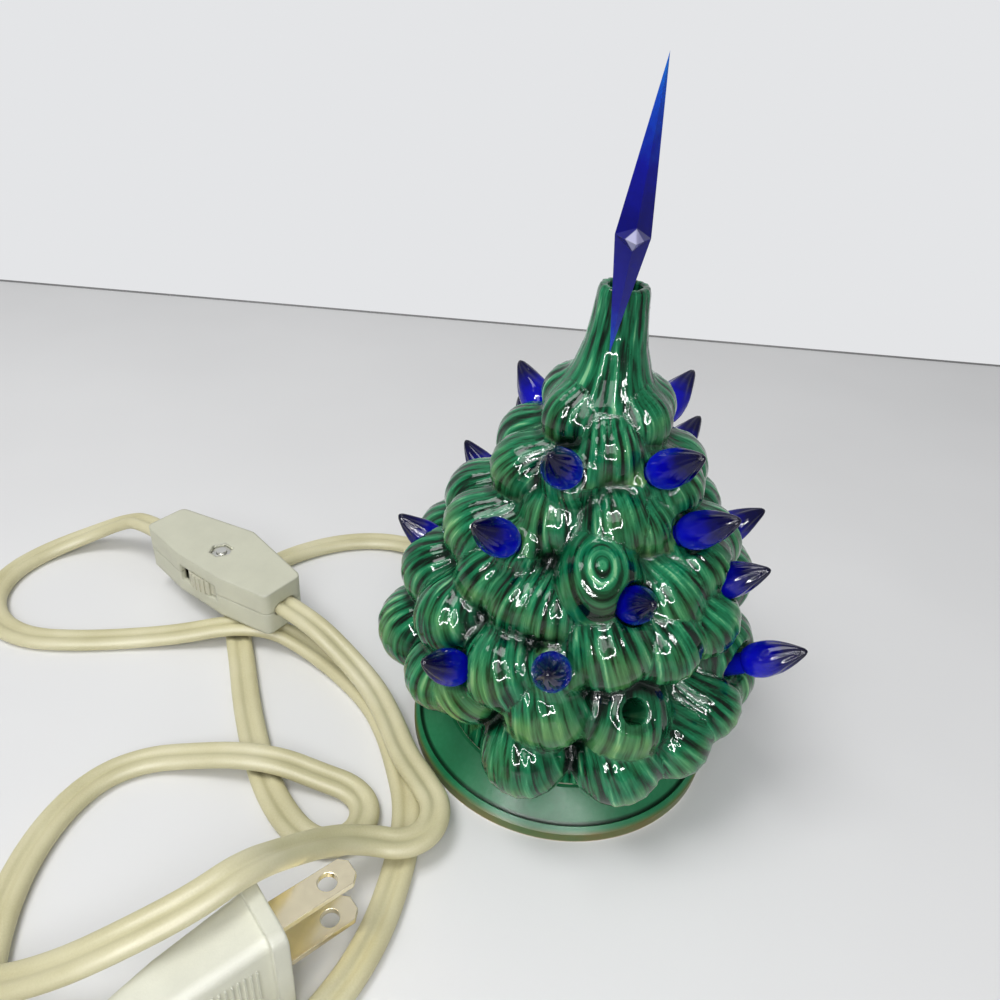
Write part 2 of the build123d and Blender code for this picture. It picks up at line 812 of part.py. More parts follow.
core_places = []
coil_samples = 700
for sample in range(coil_samples + 1):
    spot = coil_route.line @ (sample / coil_samples)
    across = (coil_route.line % (sample / coil_samples)).cross(Vector(0, 0, 1)).normalized()
    shift = across * ((cord_width - cord_thickness) / 2)
    core_places.append((spot + shift, spot - shift))
apart = coil_samples // 5
least = min(
    (one - other).length
    for first in range(0, coil_samples - apart)
    for second in range(first + apart, coil_samples + 1)
    for one in core_places[first]
    for other in core_places[second]
)
print("cord_coil length", round(coil_route.wire().length, 1), "least gap to itself", round(least - cord_thickness, 2))

# Tie that holds the coil
bundle_inner = coil_outer_radius - coil_pitch * coil_in_turns - cord_width / 2 - clearance
bundle_outer = coil_outer_radius + cord_width / 2 + clearance
bundle_bottom = coil_rest - cord_thickness / 2 - clearance
bundle_top = coil_over + cord_thickness / 2 + clearance
tie_out = turned(tie_angle)
tie_origin = Vector(coil_x, coil_y, (bundle_bottom + bundle_top) / 2) + tie_out * ((bundle_inner + bundle_outer) / 2)
with BuildPart() as tie:
    with BuildSketch(Plane(origin=tie_origin, x_dir=tie_out, z_dir=tie_out.cross(Vector(0, 0, 1)))):
        Rectangle(
            bundle_outer - bundle_inner + tie_thickness * 2,
            bundle_top - bundle_bottom + tie_thickness * 2,
        )
        Rectangle(bundle_outer - bundle_inner, bundle_top - bundle_bottom, mode=Mode.SUBTRACT)
    extrude(amount=tie_width / 2, both=True)
save(tie.part, "cord_tie")

# Routes of the free stretches, points along the middle of the lead
lead_out = turned(lead_azimuth)
lead_start = lead_out * (socket_barrel_radius - socket_slot_depth / 2)
coil_begin = coil_point(0)
coil_end = coil_point(coil_turns)
lay_cord([
    (lead_start.X, lead_start.Y, cord_rest),
    (-16.0, 22.85, cord_rest),
    (-25.4, 36.6, cord_rest),
    (-30.6, 47.2, cord_rest),
    (-31.8, 59.0, cord_rest),
    (-29.6, 70.0, cord_rest + 0.6),
    (coil_begin.X, coil_begin.Y - 11.0, coil_begin.Z),
    (coil_begin.X, coil_begin.Y, coil_begin.Z),
], "cord_lead_in")

lay_cord([
    (coil_end.X, coil_end.Y, coil_end.Z),
    (coil_end.X - 13.0, coil_end.Y, coil_end.Z),
    (-14.0, 53.4, 7.0),
    (-26.0, 57.8, 6.3),
    (-38.0, 63.6, 5.6),
    (-49.0, 69.6, 2.7),
    (-61.0, 72.8, cord_rest),
    (-73.5, 70.6, cord_rest),
    (-85.5, 64.2, cord_rest),
    (-95.4, 55.0, cord_rest),
    (-101.0, 43.5, cord_rest),
    (-101.0, 31.5, cord_rest),
    (-96.4, 19.5, cord_rest),
    (-91.0, 7.0, cord_rest),
    (-85.4, -7.0, cord_rest),
    (-78.8, -21.0, cord_rest),
    (-71.0, -34.8, cord_rest),
    (-61.2, -45.4, cord_rest),
    (-53.6, -47.6, cord_rest),
    (-47.6, -43.8, cord_rest),
    (-46.6, -37.0, cord_rest),
    (-51.2, -31.9, cord_rest + 0.5),
    (-59.8, -30.2, 3.6),
    (-69.4, -28.6, cord_over),
    (-80.4, -27.8, cord_over),
    (-92.0, -27.2, 3.4),
    (-103.5, -28.2, cord_rest),
    (-112.6, -34.6, cord_rest),
    (-117.6, -46.5, cord_rest),
    (-118.2, -62.0, cord_rest),
    (-114.2, -78.6, cord_rest),
    (-105.6, -95.0, cord_rest),
    (-92.5, -106.4, cord_rest),
    (-76.5, -108.6, cord_rest),
    (-62.6, -100.6, cord_rest),
    (-51.4, -89.0, cord_rest),
    (-43.6, -77.4, cord_rest),
    (-39.2, -66.0, cord_rest),
    (-37.2, -54.8, cord_rest),
    (-36.4, -44.4, cord_rest),
    (-37.2, -34.4, cord_rest),
    (-40.6, -24.6, cord_rest),
    (-45.0, -14.0, cord_rest),
    (-51.4, -3.4, cord_rest),
    (-61.4, 6.4, cord_rest),
    (-73.0, 14.4, 3.2),
    (-85.0, 18.8, cord_over),
    (-98.0, 18.2, cord_over),
    (-111.5, 15.6, 3.2),
    (-126.0, 13.2, cord_rest),
    (-141.0, 10.4, cord_rest),
    (-155.4, 9.8, cord_rest),
    (-167.2, 15.4, cord_rest),
    (-174.7, 26.0, cord_rest),
    (-175.6, 38.8, cord_rest),
    (-170.3, 50.6, cord_rest),
    (-159.6, 58.1, 4.4),
    (-146.8, 59.0, 10.6),
    switch_end(-1, -13.0),
    switch_end(-1, switch_wall),
], "cord_base_to_switch")

lay_cord([
    switch_end(1, switch_wall),
    switch_end(1, -11.0),
    (-60.6, 5.4, 10.2),
    (-51.0, -3.0, 6.6),
    (-44.9, -13.2, cord_over),
    (-40.0, -23.4, cord_over),
    (-34.0, -31.2, cord_over),
    (-29.8, -37.4, cord_over),
    (-30.6, -44.6, cord_over),
    (-36.0, -48.8, 6.4),
    (-43.6, -49.6, 8.6),
    (-50.6, -53.6, 13.6),
    (-56.8, -61.4, 20.6),
    (-62.4, -70.6, 28.8),
    (-69.6, -78.0, 28.2),
    (-79.0, -83.6, 26.0),
    (-91.0, -87.2, 20.0),
    (-105.0, -87.6, 12.0),
    (-119.5, -85.2, 5.4),
    (-133.4, -85.2, 2.2),
    (-145.0, -93.6, cord_rest),
    (-149.2, -108.0, cord_rest),
    (-144.0, -121.6, cord_rest),
    (-131.6, -129.4, cord_rest),
    (-117.4, -127.4, 3.2),
    plug_rear(20.0),
    plug_rear(-plug_cord_depth / 2),
], "cord_switch_to_plug")
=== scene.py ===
# The look of a small glazed ceramic tree with light pegs, its lighted base, and its switched lead.
# Shapes are worked out in millimetres and become metres when a mesh or a curve is made.
import math

import bpy
import numpy as np
from mathutils import Matrix, Vector


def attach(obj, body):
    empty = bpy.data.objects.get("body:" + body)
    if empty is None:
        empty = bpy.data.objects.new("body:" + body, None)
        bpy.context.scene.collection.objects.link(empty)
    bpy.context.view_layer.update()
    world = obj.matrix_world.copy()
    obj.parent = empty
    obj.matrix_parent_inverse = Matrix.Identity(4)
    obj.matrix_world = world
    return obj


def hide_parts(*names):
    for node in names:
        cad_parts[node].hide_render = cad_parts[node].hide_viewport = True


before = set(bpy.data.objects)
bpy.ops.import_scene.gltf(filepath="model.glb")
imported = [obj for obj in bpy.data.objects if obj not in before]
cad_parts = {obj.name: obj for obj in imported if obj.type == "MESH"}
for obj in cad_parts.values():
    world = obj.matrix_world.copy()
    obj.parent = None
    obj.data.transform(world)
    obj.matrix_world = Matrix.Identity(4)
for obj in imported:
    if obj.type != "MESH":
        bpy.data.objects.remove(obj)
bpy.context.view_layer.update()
MM = 0.001


def turned(azimuth, radius, height):
    """A point at an azimuth in degrees, a radius and a height."""
    angle = math.radians(azimuth)
    return np.array((radius * math.cos(angle), radius * math.sin(angle), height))


# Camera at the photograph's angle
camera_place = (-21.2, -156.6, 168.2)
camera_right = (0.99636, 0.04557, 0.07208)
camera_up = (-0.08528, 0.53238, 0.84220)
camera_back = (0.0, -0.84528, 0.53433)
camera = bpy.data.objects.new("camera", bpy.data.cameras.new("camera"))
bpy.context.collection.objects.link(camera)
camera.matrix_world = Matrix([
    (camera_right[i], camera_up[i], camera_back[i], camera_place[i] * MM) for i in range(3)
] + [(0, 0, 0, 1)])
camera.data.sensor_width = 36.0
camera.data.lens = 28.44
camera.data.clip_start = 0.005
bpy.context.scene.camera = camera


# Materials
class Look:
    """A node material round one Principled shader."""

    def __init__(self, name, **constants):
        self.material = bpy.data.materials.new(name)
        self.material.use_nodes = True
        self.nodes = self.material.node_tree.nodes
        self.links = self.material.node_tree.links
        self.shader = self.nodes["Principled BSDF"]
        for socket, value in constants.items():
            self.shader.inputs[socket.replace("_", " ")].default_value = value

    def add(self, kind, **settings):
        """A new node with its settings."""
        node = self.nodes.new(kind)
        for key, value in settings.items():
            setattr(node, key, value)
        return node

    def join(self, source, target):
        """Gives an input a number, a colour or another node's output."""
        if isinstance(source, (int, float)):
            target.default_value = source
        elif isinstance(source, (tuple, list)):
            target.default_value = tuple(source) + (1.0,)
        else:
            self.links.new(source, target)

    def place(self):
        """The place in the piece's own axes, in millimetres."""
        spot = self.add("ShaderNodeTexCoord")
        sized = self.add("ShaderNodeMapping")
        sized.inputs["Scale"].default_value = [1 / MM] * 3
        self.join(spot.outputs["Object"], sized.inputs["Vector"])
        return sized.outputs["Vector"]

    def parts(self, place):
        """The three numbers of a place."""
        split = self.add("ShaderNodeSeparateXYZ")
        self.join(place, split.inputs[0])
        return tuple(split.outputs)

    def stored(self, name, output="Fac"):
        """A value kept at the points of the mesh."""
        return self.add("ShaderNodeAttribute", attribute_name=name).outputs[output]

    def noise(self, place, scale, detail=3.0, roughness=0.55):
        """Cloudy noise from 0 to 1."""
        grain = self.add("ShaderNodeTexNoise")
        grain.inputs["Scale"].default_value = scale
        grain.inputs["Detail"].default_value = detail
        grain.inputs["Roughness"].default_value = roughness
        self.join(place, grain.inputs["Vector"])
        return grain.outputs["Fac"]

    def ramp(self, value, stops):
        """Colours along a value from 0 to 1."""
        scale = self.add("ShaderNodeValToRGB")
        band = scale.color_ramp
        while len(band.elements) < len(stops):
            band.elements.new(0.5)
        for element, (at, colour) in zip(band.elements, stops):
            element.position = at
            element.color = tuple(colour) + (1.0,)
        self.join(value, scale.inputs["Fac"])
        return scale.outputs["Color"]

    def blend(self, share, first, second):
        """A colour that passes from the first to the second by a share."""
        mix = self.add("ShaderNodeMix", data_type="RGBA")
        for number, source in ((0, share), (6, first), (7, second)):
            self.join(source, mix.inputs[number])
        return mix.outputs[2]

    def calc(self, operation, first, second=0):
        """One step of arithmetic."""
        step = self.add("ShaderNodeMath", operation=operation)
        self.join(first, step.inputs[0])
        self.join(second, step.inputs[1])
        return step.outputs[0]

    def weighted(self, *terms):
        """The sum of values times their weights."""
        total = None
        for value, weight in terms:
            term = self.calc("MULTIPLY", value, weight)
            total = self.calc("ADD", total, term) if total else term
        return total

    def range(self, value, low, high, to_low=0.0, to_high=1.0):
        """A value brought from one range to another, and kept within it."""
        spread = self.add("ShaderNodeMapRange")
        for socket, number in zip(list(spread.inputs)[1:5], (low, high, to_low, to_high)):
            socket.default_value = number
        self.join(value, spread.inputs[0])
        return spread.outputs[0]

    def bump(self, height, distance, strength=1.0, edge=0.0):
        """Surface relief, and edges that look rounded to a radius."""
        bumped = self.add("ShaderNodeBump")
        if edge:
            rounded = self.add("ShaderNodeBevel", samples=6)
            rounded.inputs["Radius"].default_value = edge * MM
            self.join(rounded.outputs["Normal"], bumped.inputs["Normal"])
        bumped.inputs["Strength"].default_value = strength
        bumped.inputs["Distance"].default_value = distance * MM
        self.join(height, bumped.inputs["Height"])
        self.join(bumped.outputs["Normal"], self.shader.inputs["Normal"])

    def colour(self, source):
        self.join(source, self.shader.inputs["Base Color"])

    def roughness(self, source):
        self.join(source, self.shader.inputs["Roughness"])


def speckled(name, colour, spread, roughness, grain_scale, relief, edge, constants):
    """A moulded or metal finish: a colour that drifts a little, uneven gloss and fine grain."""
    look = Look(name, **constants)
    place = look.place()
    drift = look.noise(place, 0.12)
    fine = look.noise(place, grain_scale, 4.0)
    mixed = look.weighted((drift, 0.7), (fine, 0.3))
    low = [max(0.0, c * (1 - spread)) for c in colour]
    high = [min(1.0, c * (1 + spread)) for c in colour]
    look.colour(look.ramp(mixed, ((0.3, low), (0.7, high))))
    look.roughness(look.range(fine, 0.3, 0.7, roughness * 0.8, roughness * 1.2))
    look.bump(fine, relief, edge=edge)
    return look.material


def glaze():
    """Green glaze: light on the combed ridges, nearly black in the creases from pooled glaze and painted shade,
    bare clay inside.
    """
    look = Look("green_glaze", IOR=1.5, Specular_IOR_Level=0.3)
    comb, pool_and_shade, inner, tip = [look.stored(name) for name in ("comb", "pool_and_shade", "inner", "tip")]
    fan = look.stored("fan", "Vector")
    streak = look.noise(fan, 0.62, 3.0, 0.55)
    stroke = look.noise(fan, 1.5, 2.0, 0.5)
    cloud = look.noise(look.place(), 0.09, 2.0)
    tone = look.weighted((comb, 0.26), (streak, 0.8), (stroke, 0.5), (cloud, 0.3))
    tone = look.range(tone, 0.63, 1.2)
    green = look.ramp(tone, (
        (0.12, (0.0004, 0.008, 0.003)),
        (0.3, (0.0014, 0.04, 0.016)),
        (0.44, (0.004, 0.115, 0.044)),
        (0.68, (0.011, 0.185, 0.078)),
        (0.86, (0.05, 0.29, 0.13)),
        (1.0, (0.2, 0.48, 0.24)),
    ))
    patches = look.range(cloud, 0.4, 0.65, 0.0, 0.75)
    worn = look.calc("MULTIPLY", look.calc("MULTIPLY", tip, tone), patches)
    green = look.blend(worn, green, (0.2, 0.33, 0.07))
    # Pooled glaze and painted shade: creases with little open space before them go nearly black
    shaded = look.blend(pool_and_shade, green, (0.0003, 0.006, 0.003))
    clay = look.ramp(cloud, ((0.3, (0.52, 0.44, 0.34)), (0.7, (0.68, 0.6, 0.5))))
    look.colour(look.blend(inner, shaded, clay))
    look.roughness(look.range(inner, 0, 1, 0.06, 0.8))
    look.bump(look.weighted((streak, 1.0), (comb, 0.4)), 0.3, 0.25)
    return look.material


base_groove_radius = 38.0
bare_rim_radii = (39.2, 39.9)
bare_rim_heights = (4.4, 2.6)
bare_foot_heights = (0.1, 0.35)


def base_glaze():
    """The base's thinner glaze: brown at the bare rim, painted shade darkening the groove, clay underneath."""
    look = Look("base_glaze", IOR=1.5, Specular_IOR_Level=0.2)
    place = look.place()
    x, y, height = look.parts(place)
    square = look.calc("ADD", look.calc("POWER", x, 2), look.calc("POWER", y, 2))
    reach = look.calc("POWER", square, 0.5)
    cloud = look.noise(place, 0.06, 4.0, 0.6)
    fine = look.noise(place, 0.9, 3.0)
    green = look.ramp(look.weighted((cloud, 0.8), (fine, 0.2)), (
        (0.25, (0.007, 0.12, 0.042)),
        (0.5, (0.014, 0.19, 0.075)),
        (0.75, (0.036, 0.255, 0.11)),
    ))
    from_groove = look.calc("ABSOLUTE", look.calc("SUBTRACT", reach, base_groove_radius))
    # Painted shade: the groove darkened nearly to black
    groove = look.range(from_groove, 0.25, 0.75, 0.9, 0.0)
    green = look.blend(groove, green, (0.0005, 0.012, 0.004))
    edge = look.calc("MULTIPLY", look.range(reach, *bare_rim_radii), look.range(height, *bare_rim_heights))
    edge = look.calc("MULTIPLY", edge, look.range(cloud, 0.35, 0.65, 0.45, 1.0))
    green = look.blend(edge, green, (0.16, 0.12, 0.03))
    under = look.range(height, *bare_foot_heights, 1.0, 0.0)
    look.colour(look.blend(under, green, (0.55, 0.47, 0.36)))
    look.roughness(look.range(cloud, 0.3, 0.7, 0.3, 0.46))
    look.bump(look.weighted((cloud, 1.0), (fine, 0.15)), 0.2, 0.4)
    return look.material


def blue(name, stops, painted_reflection_depth=None):
    """Clear cobalt plastic, with colours at heights in its own axes and a painted reflection: pale facets in
    front of a depth.
    """
    look = Look(name, IOR=1.45, Roughness=0.05, Specular_IOR_Level=0.3, Transmission_Weight=0.15)
    place = look.place()
    across, depth, height = look.parts(place)
    swirl = look.noise(place, 0.35, 3.0)
    low, high = stops[0][0], stops[-1][0]
    drift = look.calc("SUBTRACT", swirl, 0.5)
    along = look.weighted((look.range(height, low, high), 1.0), (drift, 0.2))
    colour = look.ramp(along, [((at - low) / (high - low), colour) for at, colour in stops])
    if painted_reflection_depth is not None:
        # Painted reflection: facets in front of the depth turn pale, paler towards one side
        reflection_share = look.range(depth, painted_reflection_depth, painted_reflection_depth - 0.3)
        side = look.range(across, -2.2, 0.2)
        pale = look.ramp(side, ((0.3, (0.5, 0.5, 0.72)), (0.7, (0.26, 0.25, 0.5))))
        colour = look.blend(reflection_share, colour, pale)
    look.colour(colour)
    look.bump(swirl, 0.1, 0.25)
    return look.material


def vinyl():
    """Cream twin flex, with painted shade darkening the groove between its wires."""
    look = Look("cord_vinyl", IOR=1.5, Specular_IOR_Level=0.35)
    place = look.place()
    drift = look.noise(place, 0.05, 2.0)
    fine = look.noise(place, 2.5, 3.0)
    cream = look.ramp(look.weighted((drift, 0.75), (fine, 0.25)), (
        (0.3, (0.5, 0.46, 0.26)),
        (0.55, (0.6, 0.56, 0.35)),
        (0.75, (0.66, 0.62, 0.43)),
    ))
    # Painted shade: ambient occlusion darkens the groove between the wires
    hollow = look.add("ShaderNodeAmbientOcclusion", only_local=True, samples=8)
    hollow.inputs["Distance"].default_value = 1.6 * MM
    groove = look.range(hollow.outputs["AO"], 0.45, 0.9, 0.75, 0.0)
    look.colour(look.blend(groove, cream, (0.16, 0.14, 0.06)))
    look.roughness(look.range(fine, 0.3, 0.7, 0.42, 0.55))
    look.bump(fine, 0.04, 0.5)
    return look.material


looks = {
    "green_glaze": glaze(),
    "base_glaze": base_glaze(),
    "peg_blue": blue("peg_blue", (
        (-9.0, (0.006, 0.02, 0.4)),
        (2.0, (0.004, 0.004, 0.6)),
        (6.5, (0.002, 0.002, 0.34)),
        (10.5, (0.001, 0.001, 0.06)),
        (14.5, (0.0005, 0.0005, 0.015)),
    )),
    # The star's facets in front of a depth of -11.4 mm carry a painted reflection
    "star_blue": blue("star_blue", (
        (106.0, (0.015, 0.14, 0.6)),
        (113.0, (0.004, 0.05, 0.5)),
        (121.0, (0.002, 0.004, 0.28)),
        (136.0, (0.001, 0.001, 0.16)),
        (146.0, (0.002, 0.004, 0.3)),
        (156.0, (0.004, 0.06, 0.5)),
        (163.0, (0.01, 0.16, 0.62)),
    ), -11.4),
    "cord_vinyl": vinyl(),
}
metal = {"Metallic": 1.0}
clear = {"Transmission_Weight": 0.95, "IOR": 1.45}
# Name, colour, spread of the colour, roughness, grain scale, relief, radius of rounded-looking edges, the rest
for name, *finish in (
    ("switch_plastic", (0.56, 0.56, 0.44), 0.06, 0.55, 3.0, 0.03, 1.1, {}),
    ("wheel_plastic", (0.52, 0.51, 0.4), 0.1, 0.45, 3.0, 0.03, 0.0, {}),
    ("plug_vinyl", (0.62, 0.62, 0.51), 0.06, 0.6, 2.5, 0.03, 0.9, {}),
    ("blade_brass", (0.8, 0.72, 0.52), 0.05, 0.22, 1.2, 0.004, 0.25, metal),
    ("brass", (0.72, 0.52, 0.22), 0.12, 0.3, 3.0, 0.01, 0.0, metal),
    ("nickelled_brass", (0.72, 0.66, 0.5), 0.1, 0.25, 3.0, 0.01, 0.0, metal),
    ("zinc_steel", (0.55, 0.55, 0.52), 0.12, 0.35, 3.0, 0.01, 0.0, metal),
    ("socket_plastic", (0.72, 0.68, 0.55), 0.06, 0.5, 2.0, 0.03, 0.0, {}),
    ("black_insulator", (0.015, 0.013, 0.012), 0.3, 0.2, 2.0, 0.01, 0.0, {}),
    ("filament_wire", (0.2, 0.2, 0.21), 0.15, 0.4, 5.0, 0.005, 0.0, metal),
    ("lamp_glass", (0.95, 0.95, 0.93), 0.02, 0.04, 0.4, 0.01, 0.0, clear),
    ("tie_plastic", (0.72, 0.72, 0.66), 0.06, 0.45, 2.0, 0.02, 0.0, {}),
):
    looks[name] = speckled(name, *finish)


def dress(node, look):
    """Gives a CAD node a material."""
    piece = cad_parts[node]
    if not piece.material_slots:
        piece.data.materials.append(looks[look])
    for holder in piece.material_slots:
        holder.material = looks[look]


def piece_from(name, points, faces, look, smooth=True):
    """A mesh piece from points in millimetres."""
    mesh = bpy.data.meshes.new(name)
    mesh.from_pydata([tuple(p) for p in np.asarray(points) * MM], [], [tuple(f) for f in faces])
    mesh.materials.append(looks[look])
    mesh.polygons.foreach_set("use_smooth", [smooth] * len(mesh.polygons))
    piece = bpy.data.objects.new(name, mesh)
    bpy.context.collection.objects.link(piece)
    return piece


# Lead: flat twin flex whose route points lie on the table, over each other and in the put-away coil
cord_width = 7.2
cord_thickness = 3.6
cord_rest = 1.85
cord_over = 6.0
cord_web_half = 1.2
cord_profile_steps = 24
coil_x, coil_y = 13.0, 93.0
coil_outer_radius = 41.5
coil_pitch = 9.6
coil_in_turns = 1.125
coil_turns = 2.75
coil_rest = 3.05
coil_over = 7.2
coil_stops = 40
switch_place = np.array((-103.5, 32.6, 15.5))
switch_azimuth = -32.5
switch_half_length = 27.0
plug_face = np.array((-57.5, -75.0, 12.65))
plug_azimuth = 42.0
plug_length = 34.0


def coil_point(turn):
    """The middle of the lead after a number of clockwise turns of the coil."""
    inward = coil_pitch * min(turn, coil_in_turns, coil_turns - turn)
    climb = max(0, min(1, (turn - coil_in_turns) / (coil_turns - 2 * coil_in_turns)))
    rise = (1 - math.cos(math.pi * climb)) / 2
    spot = turned(180 - 360 * turn, coil_outer_radius - inward, coil_rest + rise * (coil_over - coil_rest))
    return tuple(spot + (coil_x, coil_y, 0))


def switch_end(end, beyond):
    """A point on the switch's long axis, a distance beyond one of its ends."""
    return tuple(switch_place + turned(switch_azimuth, end * (switch_half_length + beyond), 0))


def plug_rear(back):
    """A point on the plug's axis, a distance behind its rear end."""
    return tuple(plug_face - turned(plug_azimuth, plug_length + back, 0))


lead_route = [
    (-8.0, 11.4, cord_rest),
    (-16.0, 22.85, cord_rest),
    (-25.4, 36.6, cord_rest),
    (-30.6, 47.2, cord_rest),
    (-31.8, 59.0, cord_rest),
    (-29.6, 70.0, cord_rest + 0.6),
    (-28.5, 82.0, coil_rest),
]
lead_route += [coil_point(coil_turns * stop / coil_stops) for stop in range(coil_stops + 1)]
lead_route += [
    (0.0, 51.5, coil_over),
    (-14.0, 53.4, 7.0),
    (-26.0, 57.8, 6.3),
    (-38.0, 63.6, 5.6),
    (-49.0, 69.6, 2.7),
    (-61.0, 72.8, cord_rest),
    (-73.5, 70.6, cord_rest),
    (-85.5, 64.2, cord_rest),
    (-95.4, 55.0, cord_rest),
    (-101.0, 43.5, cord_rest),
    (-101.0, 31.5, cord_rest),
    (-96.4, 19.5, cord_rest),
    (-91.0, 7.0, cord_rest),
    (-85.4, -7.0, cord_rest),
    (-78.8, -21.0, cord_rest),
    (-71.0, -34.8, cord_rest),
    (-61.2, -45.4, cord_rest),
    (-53.6, -47.6, cord_rest),
    (-47.6, -43.8, cord_rest),
    (-46.6, -37.0, cord_rest),
    (-51.2, -31.9, cord_rest + 0.5),
    (-59.8, -30.2, 3.6),
    (-69.4, -28.6, cord_over),
    (-80.4, -27.8, cord_over),
    (-92.0, -27.2, 3.4),
    (-103.5, -28.2, cord_rest),
    (-112.6, -34.6, cord_rest),
    (-117.6, -46.5, cord_rest),
    (-118.2, -62.0, cord_rest),
    (-114.2, -78.6, cord_rest),
    (-105.6, -95.0, cord_rest),
    (-92.5, -106.4, cord_rest),
    (-76.5, -108.6, cord_rest),
    (-62.6, -100.6, cord_rest),
    (-51.4, -89.0, cord_rest),
    (-43.6, -77.4, cord_rest),
    (-39.2, -66.0, cord_rest),
    (-37.2, -54.8, cord_rest),
    (-36.4, -44.4, cord_rest),
    (-37.2, -34.4, cord_rest),
    (-40.6, -24.6, cord_rest),
    (-45.0, -14.0, cord_rest),
    (-51.4, -3.4, cord_rest),
    (-61.4, 6.4, cord_rest),
    (-73.0, 14.4, 3.2),
    (-85.0, 18.8, cord_over),
    (-98.0, 18.2, cord_over),
    (-111.5, 15.6, 3.2),
    (-126.0, 13.2, cord_rest),
    (-141.0, 10.4, cord_rest),
    (-155.4, 9.8, cord_rest),
    (-167.2, 15.4, cord_rest),
    (-174.7, 26.0, cord_rest),
    (-175.6, 38.8, cord_rest),
    (-170.3, 50.6, cord_rest),
    (-159.6, 58.1, 4.4),
    (-146.8, 59.0, 10.6),
    switch_end(-1, 13.0),
    switch_end(-1, -1.6),
]
plug_route = [
    switch_end(1, -1.6),
    switch_end(1, 11.0),
    (-60.6, 5.4, 10.2),
    (-51.0, -3.0, 6.6),
    (-44.9, -13.2, cord_over),
    (-40.0, -23.4, cord_over),
    (-34.0, -31.2, cord_over),
    (-29.8, -37.4, cord_over),
    (-30.6, -44.6, cord_over),
    (-36.0, -48.8, 6.4),
    (-43.6, -49.6, 8.6),
    (-50.6, -53.6, 13.6),
    (-56.8, -61.4, 20.6),
    (-62.4, -70.6, 28.8),
    (-69.6, -78.0, 28.2),
    (-79.0, -83.6, 26.0),
    (-91.0, -87.2, 20.0),
    (-105.0, -87.6, 12.0),
    (-119.5, -85.2, 5.4),
    (-133.4, -85.2, 2.2),
    (-145.0, -93.6, cord_rest),
    (-149.2, -108.0, cord_rest),
    (-144.0, -121.6, cord_rest),
    (-131.6, -129.4, cord_rest),
    (-117.4, -127.4, 3.2),
    plug_rear(20.0),
    plug_rear(-2.0),
]


def cord_profile():
    """The lead's section: two round wires and the web between them."""
    core = cord_thickness / 2
    offset = (cord_width - cord_thickness) / 2
    half_width = offset + core
    side = []
    for step in range(cord_profile_steps + 1):
        x = half_width - 2 * half_width * step / cord_profile_steps
        x = half_width * math.sin(x / half_width * math.pi / 2)
        wire = math.sqrt(max(0, core * core - (abs(x) - offset) ** 2))
        side.append((x, max(wire, cord_web_half) if abs(x) < offset else wire))
    ring = side + [(x, -y) for x, y in reversed(side[1:-1])]
    data = bpy.data.curves.new("cord_profile", "CURVE")
    data.dimensions = "2D"
    spline = data.splines.new("POLY")
    spline.points.add(len(ring) - 1)
    for point, (x, y) in zip(spline.points, ring):
        point.co = (x * MM, y * MM, 0, 1)
    spline.use_cyclic_u = True
    return bpy.data.objects.new("cord_profile", data)


profile = cord_profile()


def lay_cord(name, route):
    """A lead along its route points."""
    data = bpy.data.curves.new(name, "CURVE")
    data.dimensions = "3D"
    data.twist_mode = "Z_UP"
    data.resolution_u = 8
    data.bevel_mode = "OBJECT"
    data.bevel_object = profile
    data.use_fill_caps = True
    spline = data.splines.new("NURBS")
    spline.points.add(len(route) - 1)
    for point, spot in zip(spline.points, route):
        point.co = tuple(value * MM for value in spot) + (1,)
    spline.order_u = 3
    spline.use_endpoint_u = True
    data.materials.append(looks["cord_vinyl"])
    piece = bpy.data.objects.new(name, data)
    bpy.context.collection.objects.link(piece)
    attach(piece, "stand")
    return piece


lead_cord = lay_cord("lead_to_switch", lead_route)
plug_cord = lay_cord("lead_to_plug", plug_route)
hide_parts("cord_lead_in", "cord_coil", "cord_base_to_switch")
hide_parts("cord_switch_to_plug")


# Tree: puffed lobes on a hollow core, worked out as a distance field and combed on its surface
seat_height = 9.0
tree_height = 113.3
tree_radius = 46.5
tree_top = seat_height + tree_height
core_height_shares = (
    0.0, 0.079, 0.168, 0.274, 0.362, 0.468, 0.583, 0.68, 0.724,
    0.768, 0.803, 0.847, 0.891, 0.927, 0.962, 0.989, 1.0,
)
core_radius_shares = (
    0.667, 0.667, 0.71, 0.7, 0.656, 0.548, 0.398, 0.247, 0.247,
    0.258, 0.232, 0.176, 0.142, 0.129, 0.12, 0.116, 0.105,
)
cavity_height_shares = (-0.02, 0.1, 0.185, 0.318, 0.45, 0.583, 0.697, 0.785, 0.838, 1.02)
cavity_radius_shares = (0.57, 0.57, 0.624, 0.602, 0.495, 0.323, 0.172, 0.108, 0.075, 0.075)
# Outer radius of each tier as a share of the tree radius
tier_reach_shares = {
    "cap": 0.335,
    "front": 0.4,
    "high": 0.542,
    "mid": 0.761,
    "upper": 0.882,
    "low": 0.946,
    "skirt": 1.006,
    "broad": 1.067,
}
root_size_share = 0.72
root_rise_share = 1.55
root_depth_share = 1.95
